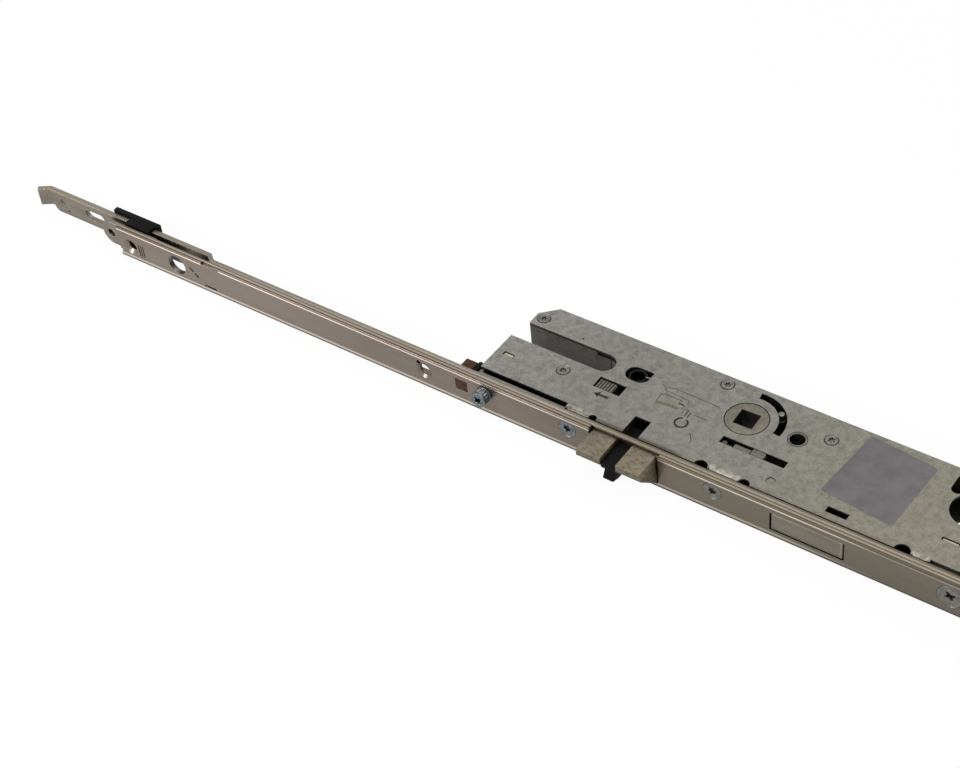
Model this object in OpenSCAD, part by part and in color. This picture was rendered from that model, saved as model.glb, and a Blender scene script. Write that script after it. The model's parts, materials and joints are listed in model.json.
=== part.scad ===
// Main case of a multipoint door lock, with the ends of its drive rail.
// Units are millimetres. X runs down the door along the faceplate, Y runs into
// the door and Z runs up through the case cover. The origin is the spindle
// centre at half the thickness of the case. Most shapes are drawn inside
// at_face(), where Y is counted from the front of the faceplate.

/* [Main sizes] */
// faceplate front to spindle centre
backset = 35; // [30:1:45]
// spindle centre to cylinder centre
centres = 92; // [88:1:96]
// spindle centre up to the end of the faceplate
upper_reach = 295.2; // [280:0.1:320]
// spindle centre down to the end of the faceplate
lower_reach = 330; // [315:0.5:360]
// width of the faceplate
plate_w = 16; // [16:0.5:20]
// thickness of the faceplate
plate_t = 2.4; // [2:0.1:2.6]
// thickness of the whole case
case_t = 15; // [15:0.5:17]
// thickness of the case sheet
sheet = 1.5; // [1.2:0.1:1.6]
// side of the square spindle hole
spindle = 8.1; // [7:0.1:9]

/* [Motion] */
// travel of the drive rail
travel = 12; // [8:0.5:13]
// throw of the deadbolt
throw = 18; // [14:0.5:19]
// travel of the latch bolt
latch_travel = 10; // [8:0.5:11]
// travel of the latch trigger
trigger_travel = 6; // [4:0.5:7]

/* [Clearances] */
// radial clearance of the follower in its holes
follower_gap = 0.06; // [0.02:0.01:0.1]
// radial clearance of the key pinions on their axles
axle_gap = 0.05; // [0.02:0.01:0.1]
// side clearance of the sliding bolts
bolt_gap = 0.4; // [0.3:0.05:0.5]
// clearance between flat sliding sheets
slide_gap = 0.3; // [0.2:0.05:0.4]

/* [Fixings] */
// radius of the faceplate screw shanks
screw_r = 2; // [1.5:0.1:2.2]
// radius of the faceplate screw heads
head_r = 4; // [3.5:0.1:4.4]
// radius of the door screw holes in the faceplate
door_hole_r = 2.3; // [2:0.1:2.6]
// radius of the cylinder screw
cylinder_screw_r = 2.5; // [2:0.1:2.5]
// bore radius of the handle screw sleeve
handle_hole_r = 3; // [2.6:0.1:3.2]
// radius of the round part of the cylinder hole
cylinder_r = 8.5; // [8.3:0.1:8.6]

/* [Hidden] */
$fn = 48;
half = case_t / 2;
inner = half - sheet;

// layers behind the faceplate
rail_y0 = plate_t + 0.2;
rail_t = 2.4;
rail_y1 = rail_y0 + rail_t;
rail_half = plate_w / 2 - 0.7;
case_front = rail_y1 + slide_gap;
case_rear = backset + 17.1;

// case outline
front_x = -104.5;
rear_x = -102.4;
case_end = centres + 43;
corner = 6.5;
channel_mid = backset - 0.7;
channel_w = 10;
channel_x = -63.7;
cover_step_x = -63;
cover_step_y = case_front + 2.9;
fold_gap = 0.3;
touch_gap = 0.02;
// small windows of the cover: left, front, length, width
small_windows = [[front_x + 3.3, 18.2, 5, 2], [centres - 3.8, 17, 7, 1.6]];

// drive rail and its tongues
tongue_t = 2.3;
tongue_half = rail_half - 1.6;
tongue_y0 = rail_y0 + 4.2;
tongue_y1 = tongue_y0 + tongue_t;
jog_x = upper_reach - 53.9;
jog_run = 6.5;
tab_x = upper_reach + 49;
tab_run = 5.1;
tab_drop = 3.3;
tab_bend = atan2(tab_drop, tab_run);
tab_low = -3;
tab_corner = 2.7;
coupling_x0 = upper_reach + 17.8;
coupling_x1 = upper_reach + 24.3;
coupling_r = 2.5;
saddle_x0 = -upper_reach - 10.3;
saddle_x1 = -upper_reach + 16;
pad_x0 = saddle_x0 + 11;
pad_x1 = saddle_x1 - 1.5;
rail_mid = (lower_reach - upper_reach) / 2;

// faceplate details
edge_r = 0.7;
door_screw_x = 127.4;
end_screw_x = upper_reach - 6.8;
round_hole_x = upper_reach - 34.4;
bars_x = upper_reach - 11.6;
marks_x = upper_reach - 43;
edge_cut_x = upper_reach - 49.7;
edge_cut_len = 6.3;
handle_x = 21.5;
furniture_x = -48.4;
sleeve_wall = 0.8;
furniture_r = 2.9;
furniture_top = 2;
cylinder_screw_x = centres + 8.2;
cylinder_screw_z = 0.7;
cylinder_screw_end = 29;
lobe_reach = 19.5;
lobe_r = 5;
screws_z = 2.6;
upper_screw_x = -58.6;
middle_screw_x = 5.4;
lower_screw_x = case_end - 11;
stud_x = -97.5;
clip_x0 = -111.7;
clip_x1 = -105.9;
clip_z0 = -1.2;
clip_z1 = 4.4;

// latch
latch_x0 = -48.2;
latch_x1 = -18.4;
latch_half = inner - slide_gap;
latch_out = 9.6;
latch_back = 24;
latch_wall = 2;
trigger_back = latch_back - latch_wall - trigger_travel - 2.5;
trigger_x0 = -37.5;
trigger_x1 = -30.9;
trigger_top = 3.6;
tail_t = 1.2;
tail_z0 = -inner + 1;
tail_z1 = tail_z0 + 2.4;
spring_seat = latch_back + tail_t + latch_travel + 3;
seat_t = 2;
flank_slope = 1.7;

// follower
hub_r = 8.4;
pin_angle = 44;
pin_reach = 13.4;
arm_angle = 200;
pad_r = 2;
arm_half = 1.3;
spindle_turn = 2.1;
slot_low = -8;
slot_high = 97;
ledge_gap = 0.5;
ledge_y = backset + pin_reach * sin(arm_angle) + pad_r + ledge_gap;
ledge_end = 2.2 - pin_reach;

// deadbolt and drive plate
bolt_x0 = 29.8;
bolt_x1 = 59.2;
bolt_half = 4.2;
bolt_y0 = 0.2;
drive_z0 = -inner + slide_gap;
drive_z1 = -bolt_half - bolt_gap;
drive_y0 = case_front + sheet + slide_gap;
bolt_pin_x = (bolt_x0 + bolt_x1) / 2;
bolt_pin_r = 2;
bolt_pin_y = drive_y0 + throw + bolt_pin_r + slide_gap + 0.6;
bolt_back = bolt_pin_y + 6;
plate_x0 = 26;
plate_x1 = 65;
tenons = [[28, 34], [58, 64]];

// rack and key pinions, module 1
teeth = 12;
pitch_r = teeth / 2;
pitch = PI;
rack_pitch_y = drive_y0 + 3.2;
rack_z1 = drive_z1 + 2.3;
rack_end = centres + 20;
rack_depth = 2.1;
rack_x0 = plate_x1 + 0.4;
rack_rivet_x = [plate_x1 + 6, plate_x1 + 22, plate_x1 + 38];
rack_rivet_r = 0.7;
pinion_y = rack_pitch_y + pitch_r;
pinion_side = 4 * pitch;
pinion_z0 = drive_z1 + 0.4;
pinion_z1 = pinion_z0 + 2.1;
axle_r = 1.5;

// cover screws and posts
post_r = 2.1;
post_hole_r = 1.4;
cover_head_r = 2.85;
posts = [[rear_x + 3.8, case_rear - 7.9], [channel_x - 11.4, channel_mid - 11.6],
         [latch_x1 + 2.7, case_rear - 4.3], [32.4, case_rear - 10.9],
         [case_end - 10, case_rear - 7.1], [case_end - 9, case_front + 12.7]];

// small sliders in the cover
slider_x0 = -60.3;
slider_x1 = -48.3;
slider_w = 6;
slider_y0 = backset - 14;
slider_y1 = slider_y0 + slider_w;
dimple = [handle_x + 1.9, case_front + 6.1];
dimple_r = 1.9;
dot = [rear_x + 24.2, channel_mid + 7.4];
dot_r = 0.5;
snib_x0 = -3;
snib_x1 = 24.4;
snib_w = 3.7;
snib_y0 = backset - 15.7;
snib_y1 = snib_y0 + snib_w;
snib_block_x0 = 10;
snib_block_x1 = 15.5;
snib_rod_z = half - 2.6;
snib_rod_x = 2.7;
peg_x = snib_x0 + 1.6;
peg_r = 1.1;

// springs: coil radius, turns, length, wire radius
latch_coil = [2.3, 6, spring_seat - latch_back - tail_t, 0.25];
trigger_coil = [2, 5, latch_back - latch_wall - trigger_back, 0.22];
snib_coil = [1, 8, snib_block_x0 - 0.8 - peg_x - peg_r, 0.2];

zinc = [0.62, 0.61, 0.58];
taupe = [0.52, 0.49, 0.44];
beige = [0.65, 0.61, 0.53];
steel = [0.55, 0.57, 0.58];
dark = [0.05, 0.05, 0.05];
brown = [0.43, 0.25, 0.17];

// Helpers

module at_face() translate([0, -backset, 0]) children();

module slab(x0, x1, y0, y1, z0, z1)
  translate([x0, y0, z0]) cube([x1 - x0, y1 - y0, z1 - z0]);

module rod_z(x, y, r, z0, z1)
  translate([x, y, z0]) cylinder(r = r, h = z1 - z0);

module rod_y(x, z, r, y0, y1)
  translate([x, y0, z]) rotate([-90, 0, 0]) cylinder(r = r, h = y1 - y0);

module cone_y(x, z, r0, r1, y0, y1)
  translate([x, y0, z]) rotate([-90, 0, 0]) cylinder(r1 = r0, r2 = r1, h = y1 - y0);

// a section drawn in Y and Z, carried along X
module along_x(x0, x1)
  translate([x0, 0, 0]) rotate([90, 0, 90]) linear_extrude(x1 - x0) children();

// a plan drawn in X and Y, raised along Z
module raised(z0, z1)
  translate([0, 0, z0]) linear_extrude(z1 - z0) children();

module star(r) {
  circle(r = r, $fn = 3);
  rotate(60) circle(r = r, $fn = 3);
}

// a straight slot with round ends between two points
module slot_plan(a, b, r) {
  d = b - a;
  translate(a) circle(r = r);
  translate(b) circle(r = r);
  translate(a) rotate(atan2(d[1], d[0])) translate([0, -r]) square([norm(d), 2 * r]);
}

// the upper end, turned over to make the lower one
module lower_end() translate([2 * rail_mid, 0, 0]) mirror([1, 0, 0]) children();

// a wire spring along Y: points of one unbroken tube
function spring_centre(r, turns, len, wire, u) =
  [r * cos(360 * turns * u), wire + (len - 2 * wire) * u, r * sin(360 * turns * u)];

function spring_ring(r, turns, len, wire, i, n) =
  let(u = i / n, c = spring_centre(r, turns, len, wire, u),
      a = 360 * turns * u, radial = [cos(a), 0, sin(a)])
  [for (k = [0:5]) c + wire * (cos(60 * k) * radial + sin(60 * k) * [0, 1, 0])];

// least clear distance between neighbouring coils, measured on the centre line
function coil_gap(s) = let(n = s[1] * 8)
  min([for (i = [0:n]) for (j = [i + 5:min(i + 11, n)])
    norm(spring_centre(s[0], s[1], s[2], s[3], i / n) - spring_centre(s[0], s[1], s[2], s[3], j / n))])
  - 2 * s[3];

module spring(s) {
  r = s[0];
  turns = s[1];
  len = s[2];
  wire = s[3];
  n = turns * 8;
  points = [for (i = [0:n]) each spring_ring(r, turns, len, wire, i, n)];
  sides = [for (i = [0:n - 1]) for (k = [0:5])
    let(a = 6 * i + k, b = 6 * i + (k + 1) % 6) each [[a, b + 6, b], [a, a + 6, b + 6]]];
  caps = [for (k = [1:4]) each [[0, k, k + 1], [6 * n, 6 * n + k + 1, 6 * n + k]]];
  polyhedron(points = points, faces = concat(sides, caps));
}

// Faceplate and what is fixed to it

module face_section() {
  translate([edge_r, -plate_w / 2]) square([plate_t - edge_r, plate_w]);
  translate([0, -plate_w / 2 + edge_r]) square([2 * edge_r, plate_w - 2 * edge_r]);
  for (side = [-1, 1])
    translate([edge_r, side * (plate_w / 2 - edge_r)]) circle(r = edge_r, $fn = 24);
}

module countersink(x, z, r, head) {
  rod_y(x, z, r, -1, plate_t + 1);
  cone_y(x, z, head, r, 0, head - r);
  rod_y(x, z, head, -1, 0.01);
}

module end_cuts() {
  countersink(-end_screw_x, -0.9, door_hole_r, 3.9);
  rod_y(-round_hole_x, 0.3, 4.8, -1, plate_t + 1);
  for (bar = [0:2]) slab(-bars_x + 1.3 * bar, -bars_x + 0.6 + 1.3 * bar, -1, 0.35, -4, 2.4);
  slab(-edge_cut_x, -edge_cut_x + edge_cut_len, -1, 1.3, plate_w / 2 - 1.1, plate_w);
  slab(-edge_cut_x - 0.3, -edge_cut_x + edge_cut_len + 0.2, -1, 1.2, -5.3, -4.4);
  for (bite = [-5, -1.6, 3.6]) rod_y(-upper_reach, bite, 1, -1, plate_t + 1);
  for (mark = [0, 1]) translate([-marks_x + 2.6 * mark, 0.5, 1.2 - 2.2 * mark])
    rotate([90, 40, 0]) translate([-1.3, -0.5, 0]) cube([2.6, 1, 2]);
  countersink(-door_screw_x, 0.6, door_hole_r + 0.4, 3.7);
  rod_y(-door_screw_x - 2.3, 4.3, 1, -1, plate_t + 1);
}

module faceplate() color(taupe) at_face() difference() {
  along_x(-upper_reach, lower_reach) face_section();
  end_cuts();
  lower_end() end_cuts();
  for (x = [upper_screw_x, middle_screw_x, lower_screw_x])
    countersink(x, screws_z, screw_r + 0.1, head_r + 0.1);
  countersink(cylinder_screw_x, cylinder_screw_z, cylinder_screw_r + 0.1, 5.1);
  rod_y(stud_x, screws_z, screw_r + 0.1, -1, plate_t + 1);
  slab(clip_x0, clip_x1, -1, plate_t + 1, clip_z0, clip_z1);
  slab(latch_x0 - bolt_gap, latch_x1 + bolt_gap, -1, plate_t + 1,
       -latch_half - bolt_gap, plate_w);
  slab(bolt_x0 - bolt_gap, bolt_x1 + bolt_gap, -1, plate_t + 1,
       -bolt_half - bolt_gap / 2, bolt_half + bolt_gap / 2);
}

module end_lug() at_face() difference() {
  union() {
    slab(-upper_reach - 6, -upper_reach + 20, plate_t, plate_t + 2, -6, 6);
    rod_y(-upper_reach - 6, 0, 6, plate_t, plate_t + 2);
  }
  rod_y(-upper_reach - 6.8, 0, 2, plate_t - 1, plate_t + 3);
  rod_y(-end_screw_x, -0.9, 3, plate_t - 1, plate_t + 3);
}

module upper_end_lug() color(steel) end_lug();

module lower_end_lug() color(steel) lower_end() end_lug();

// a plastic saddle that sits on the lug and guides the tongue
module guide_clip() at_face() difference() {
  slab(saddle_x0, saddle_x1, tongue_y0 - 2, tongue_y1 + 1.2,
       -tongue_half - 1.2, tongue_half + 1.2);
  slab(saddle_x0 - 1, saddle_x1 + 1, tongue_y0 - slide_gap, tongue_y1 + slide_gap,
       -tongue_half - slide_gap, tongue_half + slide_gap);
  for (cut = [[saddle_x0 - 1, pad_x0], [pad_x1, saddle_x1 + 1]])
    slab(cut[0], cut[1], 0, tongue_y1 + slide_gap, -plate_w, plate_w);
}

module lug_pad() at_face() slab(pad_x0, pad_x1, plate_t + 2,
  tongue_y0 - slide_gap - 0.5, -4, 4);

module upper_guide_clip() color(dark) union() {
  guide_clip();
  lug_pad();
}

module lower_guide_clip() color(dark) lower_end() union() {
  guide_clip();
  lug_pad();
}

module centre_clip() color(brown) at_face() union() {
  slab(clip_x0, clip_x1, 0.05, plate_t, clip_z0, clip_z1);
  slab(clip_x0 + 0.8, clip_x1 - 1.1, plate_t, case_front, clip_z0 + 0.4, clip_z1 - 0.4);
  slab(clip_x0 - 0.5, clip_x1 - 1, case_front, case_front + 4.2, clip_z0 - 1, rail_half - 0.3);
}

module clip_finger() color(dark) at_face() union() {
  slab(clip_x1 - 1, front_x - 0.4, case_front, case_front + 4.6, 4.6, rail_half - 0.4);
  rod_z((clip_x1 - 1 + front_x - 0.4) / 2, case_front + 4.6, (front_x - clip_x1 + 0.6) / 2,
        4.6, rail_half - 0.4);
}

// Drive: the rail behind the faceplate, its tongues and the plate in the case

// plan of the upper half of the rail, as bent from strip
module rail_plan()
  polygon([[1, rail_y0], [1, rail_y1], [-jog_x - 1, rail_y1],
    [-jog_x - jog_run, tongue_y1], [-tab_x, tongue_y1],
    [-tab_x - tab_run, tongue_y1 - tab_drop],
    [-tab_x - tab_run + tongue_t * sin(tab_bend), tongue_y1 - tab_drop - tongue_t * cos(tab_bend)],
    [-tab_x + tongue_t * tan(tab_bend / 2), tongue_y0],
    [-jog_x - jog_run, tongue_y0], [-jog_x - 1, rail_y0]]);

module rail_half_body() difference() {
  translate([rail_mid, 0, 0]) intersection() {
    translate([-rail_mid, 0, 0]) raised(-rail_half, rail_half) union() {
      rail_plan();
      translate([0, rail_y0]) square([2 * rail_mid, rail_t]);
    }
    slab(-tab_x - 60, 0, 0, backset, -plate_w, plate_w);
  }
  // the tongue is narrower than the rail
  for (side = [-1, 1]) translate([0, 0, side * (tongue_half + plate_w / 2)])
    slab(-tab_x - 20, -jog_x - 5, 0, backset, -plate_w / 2, plate_w / 2);
  // coupling hole for the extension rod
  translate([0, tongue_y0 - 1, 0]) rotate([-90, 0, 0]) linear_extrude(tongue_t + 2)
    slot_plan([-coupling_x1, 0], [-coupling_x0, 0], coupling_r);
  rod_y(-tab_x + 8, 1, 1.4, 0, tongue_y0 + 0.5);
  rod_y(-tab_x + 10.7, -3.6, 0.7, 0, tongue_y0 + 0.5);
  // the tip is narrower below, with a round corner
  difference() {
    slab(-tab_x - 20, -tab_x + 2 + tab_corner, 0, backset, -plate_w, tab_low);
    rod_y(-tab_x + 2 + tab_corner, tab_low, tab_corner, -1, backset + 1);
  }
}

// room in the rail for something fixed that goes through it
module rail_window(x0, x1, z0, z1)
  slab(x0 - travel - bolt_gap, x1 + bolt_gap, rail_y0 - 1, rail_y1 + 1, z0, z1);

module drive_rail() color(taupe) at_face() difference() {
  union() {
    rail_half_body();
    lower_end() rail_half_body();
  }
  rail_window(latch_x0, latch_x1, -latch_half - bolt_gap, latch_half + bolt_gap);
  rail_window(bolt_x0, bolt_x1, -bolt_half - bolt_gap, bolt_half + bolt_gap);
  for (x = [upper_screw_x, middle_screw_x, lower_screw_x])
    rail_window(x - screw_r, x + screw_r, screws_z - screw_r - bolt_gap,
                screws_z + screw_r + bolt_gap);
  rail_window(clip_x0 + 0.8, stud_x + screw_r, clip_z0, screws_z + screw_r + bolt_gap);
  rail_window(-door_screw_x - 2.4, -door_screw_x + 2.2, -3.4, 4.4);
  rail_window(2 * rail_mid + door_screw_x - 2.2, 2 * rail_mid + door_screw_x + 2.4, -3.4, 4.4);
  rail_window(cylinder_screw_x - cylinder_screw_r, cylinder_screw_x + cylinder_screw_r,
              cylinder_screw_z - cylinder_screw_r - bolt_gap,
              cylinder_screw_z + cylinder_screw_r + bolt_gap);
  for (t = tenons) slab(t[0], t[1], rail_y0 - 1, rail_y1 + 1, drive_z0, drive_z1);
}

module drive_plate() color(zinc) at_face() raised(drive_z0, drive_z1) difference() {
  union() {
    translate([plate_x0, drive_y0]) square([plate_x1 - plate_x0, bolt_pin_y + 4 - drive_y0]);
    translate([plate_x1, drive_y0]) square([rack_end - plate_x1, 3]);
    for (t = tenons) translate([t[0], rail_y0]) square([t[1] - t[0], drive_y0 - rail_y0]);
  }
  slot_plan([bolt_pin_x, bolt_pin_y], [bolt_pin_x - travel, bolt_pin_y - throw],
            bolt_pin_r + slide_gap);
  for (x = rack_rivet_x) translate([x, drive_y0 + 1]) circle(r = rack_rivet_r, $fn = 24);
}

// a gap of the rack stands at each pinion at rest
rack_gap_x = centres - pinion_side + pitch / 2;
rack_first = rack_gap_x - pitch * floor((rack_gap_x - rack_x0 - 1.2) / pitch);
rack_teeth = floor((rack_end - 1 - rack_first) / pitch);

module rack_tooth(x) translate([x, rack_pitch_y])
  polygon([[-1.09, -1.2], [1.09, -1.2], [0.34, 0.85], [-0.34, 0.85]]);

module drive_rack() color(steel) at_face() raised(drive_z1, rack_z1) difference() {
  union() {
    translate([rack_x0, drive_y0]) square([rack_end - rack_x0, rack_depth]);
    for (i = [0:rack_teeth]) rack_tooth(rack_first + pitch * i);
  }
  for (x = rack_rivet_x) translate([x, drive_y0 + 1]) circle(r = rack_rivet_r, $fn = 24);
}

module rack_rivets() color(steel) at_face()
  for (x = rack_rivet_x) rod_z(x, drive_y0 + 1, rack_rivet_r, drive_z0, rack_z1, $fn = 24);

// Case

module channel_plan(e) {
  translate([front_x - 5, channel_mid - channel_w / 2 - e])
    square([channel_x - front_x + 5, channel_w + 2 * e]);
  translate([channel_x, channel_mid]) circle(r = channel_w / 2 + e);
}

module case_outline(e) {
  polygon([[rear_x + e, channel_mid], [case_end - e, channel_mid],
    [case_end - e, case_rear - e], [rear_x + corner + 0.414 * e, case_rear - e],
    [rear_x + e, case_rear - corner - 0.414 * e]]);
  translate([front_x + e, case_front + e])
    square([case_end - front_x - 2 * e, channel_mid - case_front - e]);
}

// plan of the case, drawn e inside its outline
module case_plan(e) difference() {
  case_outline(e);
  channel_plan(e);
}

module cylinder_plan() {
  translate([centres, backset]) circle(r = cylinder_r);
  translate([centres, backset - lobe_r]) square([lobe_reach, 2 * lobe_r]);
  translate([centres + lobe_reach, backset]) circle(r = lobe_r);
}

// flat bottom of the folded tray
module case_base() color(zinc) at_face() raised(-half, -inner) difference() {
  case_plan(0);
  translate([0, backset]) circle(r = hub_r + follower_gap);
  translate([handle_x, backset]) circle(r = handle_hole_r + sleeve_wall);
  translate([furniture_x, backset]) circle(r = furniture_r + sleeve_wall);
  cylinder_plan();
}

// open slits where the folded walls meet
module fold_slits() {
  for (x = [front_x, case_end - sheet]) translate([x - 0.1, case_front + sheet])
    square([sheet + 0.2, fold_gap]);
  translate([case_end - sheet - 0.1, case_rear - sheet - fold_gap])
    square([sheet + 0.2, fold_gap]);
  translate([rear_x - 1, case_rear - corner - 0.414 * sheet - 0.05])
    square([sheet + 1.5, 0.414 * sheet + 0.05]);
  translate([rear_x + corner, case_rear - sheet - 0.5])
    square([0.414 * sheet + 0.05, sheet + 1.5]);
}

module case_walls() color(zinc) at_face() difference() {
  raised(-inner, inner) difference() {
    case_outline(0);
    case_outline(sheet);
    channel_plan(sheet + touch_gap);
    fold_slits();
  }
  slab(cover_step_x + 0.4, centres - 3, case_front - 1, case_front + sheet + 0.01, -half, half);
  for (x = [stud_x, lower_screw_x])
    rod_y(x, screws_z, screw_r, case_front - 1, case_front + sheet + 1);
  rod_y(cylinder_screw_x, cylinder_screw_z, cylinder_screw_r + 0.4, case_front - 1,
        case_front + sheet + 1);
}

// walls of the open channel
module channel_liner() color(zinc) at_face() difference() {
  raised(-inner, inner) intersection() {
    case_outline(0);
    difference() {
      channel_plan(sheet);
      channel_plan(0);
      translate([channel_x, 0]) square([fold_gap, 2 * backset]);
    }
  }
  slab(channel_x - 6.3, case_end, channel_mid, case_rear, inner - 1.5, inner + 1);
}

// upright tabs that show in the small windows of the cover
module locating_tabs() color(zinc) at_face() for (w = small_windows)
  slab(w[0] + 0.4, w[0] + w[2] - 0.4, w[1] + 0.3, w[1] + w[3] - 0.3, -inner, half - 0.3);

module tab_section() {
  translate([case_front, -1.6]) square([sheet, half - sheet + 1.6]);
  translate([case_front + sheet, half - sheet]) circle(r = sheet, $fn = 32);
}

tabs = [[-62.4, -52.3], [0.6, 12.9], [82.6, 88.4]];

module cover_tab(x0, x1) along_x(x0, x1) tab_section();

module cover_windows() {
  for (w = small_windows) translate([w[0], w[1]]) square([w[2], w[3]]);
  translate([slider_x0, slider_y0]) square([slider_x1 - slider_x0, slider_y1 - slider_y0]);
  slot_plan([furniture_x - 1.2, backset], [furniture_x + 1.4, backset], 3.9);
  translate([furniture_x - 1.2, backset]) square([6.5, 3.9]);
  translate([-37, case_front - 1]) square([7, 15.3 - case_front + 1]);
  translate([0, backset]) circle(r = hub_r + follower_gap);
  translate([handle_x, backset]) circle(r = handle_hole_r + sleeve_wall);
  translate([snib_x0, snib_y0]) square([snib_x1 - snib_x0, snib_y1 - snib_y0]);
  translate([bolt_x1 - 12, drive_y0 + 1.1]) square([8.5, 2.9]);
  translate([80.3, 42]) square([4.8, 5.9]);
  translate([82.7, 42]) circle(r = 2.4);
  cylinder_plan();
  // round notches along the front edge
  for (n = [[-50.6, 1.65, 6], [-2.6, 2.8, 5.2], [15.6, 2.3, 5.2], [79, 3.2, 5.2]]) {
    translate([n[0], n[2]]) circle(r = n[1], $fn = 32);
    translate([n[0] - n[1], case_front - 1]) square([2 * n[1], n[2] - case_front + 1]);
  }
  translate([89.5, case_front - 1]) square([16, 2.3]);
}

// curved slot that the follower pin shows through
module pin_slot_plan() translate([0, backset]) difference() {
  circle(r = 15.1, $fn = 72);
  circle(r = 12);
  polygon([[0, 0], [30 * cos(slot_low), 30 * sin(slot_low)], [40, -60], [-60, -60],
    [-60, 60], [30 * cos(slot_high), 30 * sin(slot_high)]]);
}

module case_cover() color(zinc) at_face() difference() {
  union() {
    raised(inner, half) difference() {
      case_plan(0);
      translate([front_x - 1, 0]) square([cover_step_x - front_x + 1, cover_step_y]);
      for (t = tabs) translate([t[0], case_front - 1]) square([t[1] - t[0], sheet + 1]);
    }
    for (t = tabs) cover_tab(t[0], t[1]);
  }
  raised(inner - 1, half + 1) {
    cover_windows();
    pin_slot_plan();
  }
  for (x = [upper_screw_x, middle_screw_x])
    rod_y(x, screws_z, screw_r, case_front - 1, case_front + sheet + 1);
  for (p = posts) {
    rod_z(p[0], p[1], post_hole_r + 0.1, inner - 1, half + 1);
    translate([p[0], p[1], inner]) cylinder(r1 = post_hole_r + 0.1, r2 = 3, h = sheet);
  }
  rod_z(dimple[0], dimple[1], dimple_r, half - 0.4, half + 1);
  rod_z(dot[0], dot[1], dot_r, half - 0.4, half + 1);
  // arrow beside the slider
  translate([slider_x0 + 2.7, slider_y0 - 3]) raised(half - 0.25, half + 1)
    polygon([[0, 0], [2, 1.2], [2, 0.4], [6.2, 0.4], [6.2, -0.4], [2, -0.4], [2, -1.2]]);
}

module case_posts() color(steel) at_face() for (p = posts) difference() {
  rod_z(p[0], p[1], post_r, -inner, inner);
  rod_z(p[0], p[1], post_hole_r, -1, inner + 1, $fn = 24);
}

module cover_screws() color(steel) at_face() for (p = posts) translate([p[0], p[1], 0])
  difference() {
    union() {
      translate([0, 0, inner]) cylinder(r1 = post_hole_r, r2 = cover_head_r, h = sheet);
      cylinder(r = post_hole_r, h = inner, $fn = 24);
    }
    translate([0, 0, half - 0.9]) linear_extrude(2) star(1.5);
  }

module flat_screw(x, z, r, head, end) difference() {
  union() {
    cone_y(x, z, head, r, 0, head - r);
    rod_y(x, z, r, 0.5, end);
  }
  translate([x, -1, z]) rotate([-90, 0, 0]) linear_extrude(2.1) star(0.5 * head);
}

module faceplate_screws() color(steel) at_face()
  for (x = [upper_screw_x, middle_screw_x, lower_screw_x])
    flat_screw(x, screws_z, screw_r, head_r, case_front + sheet + 2.2);

// proud screw with a ribbed head
module transport_screw() color(steel) at_face() difference() {
  union() {
    rod_y(stud_x, screws_z, 3.5, -4.9, 0);
    rod_y(stud_x, screws_z, screw_r, 0, case_front + sheet + 2.2);
  }
  translate([stud_x, -5.9, screws_z]) rotate([-90, 0, 0]) linear_extrude(2.8) star(2);
  for (rib = [0:15]) translate([stud_x, 0, screws_z]) rotate([0, 22.5 * rib, 0])
    rod_y(3.6, 0, 0.4, -3.9, -1, $fn = 16);
}

module cylinder_screw() color(steel) at_face()
  flat_screw(cylinder_screw_x, cylinder_screw_z, cylinder_screw_r, 5, cylinder_screw_end);

module sleeve(x, r, top) difference() {
  rod_z(x, backset, r + sleeve_wall, -half, top);
  rod_z(x, backset, r, -half - 1, top + 1);
}

module screw_sleeves() color(steel) at_face() {
  sleeve(handle_x, handle_hole_r, half);
  sleeve(furniture_x, furniture_r, furniture_top);
}

// Follower

module follower() color(beige) difference() {
  union() {
    cylinder(r = hub_r, h = case_t, center = true);
    translate([0, 0, tail_z0 - 0.2]) cylinder(r = 10.8, h = -2 * (tail_z0 - 0.2));
    // arm for the latch tail
    rotate(arm_angle) raised(tail_z0, tail_z1) union() {
      translate([0, -arm_half]) square([pin_reach, 2 * arm_half]);
      translate([pin_reach, 0]) circle(r = pad_r);
    }
    // arm that carries the pin
    rotate(pin_angle) raised(1.5, -tail_z0) union() {
      translate([0, -2.6]) square([pin_reach, 5.2]);
      translate([pin_reach, 0]) circle(r = 2.6);
    }
  }
  rotate(pin_angle) rod_z(pin_reach, 0, 1.3, 2.5, half, $fn = 32);
  rotate(spindle_turn) cube([spindle, spindle, case_t + 2], center = true);
}

module follower_pin() color(steel) rotate(pin_angle)
  rod_z(pin_reach, 0, 1.3, 2.5, half - 0.4, $fn = 32);

// Latch

module latch_section(top)
  polygon([[-latch_out, top], [-latch_out, 2.5], [0, -latch_half], [latch_back, -latch_half],
    [latch_back, top]]);

module latch_bolt() color(beige) at_face() difference() {
  along_x(latch_x0, latch_x1) latch_section(latch_half);
  // the right flank of the head slopes outwards as it goes down
  translate([0, plate_t, 0]) rotate([90, 0, 0]) linear_extrude(plate_t + latch_out + 1)
    polygon([[latch_x1 - flank_slope, latch_half + 0.1], [latch_x1, -latch_half / 2],
      [latch_x1 + 1, -latch_half / 2], [latch_x1 + 1, latch_half + 0.1]]);
  // the back corner stays clear of the upper furniture sleeve
  slab(latch_x0 - 1, furniture_x + furniture_r + sleeve_wall + bolt_gap,
       backset - furniture_r - sleeve_wall - latch_travel - bolt_gap, latch_back + 1,
       -plate_w, plate_w);
  // room for the trigger and its spring
  slab(trigger_x0 - 0.1, trigger_x1 + 0.3, -latch_out - 1, latch_back - latch_wall,
       -plate_w, plate_w);
  for (z = [-0.5, 3.5]) rod_y(latch_x1 - 1.9, z, 0.9, latch_back - 4, latch_back + 1, $fn = 24);
}

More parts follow.
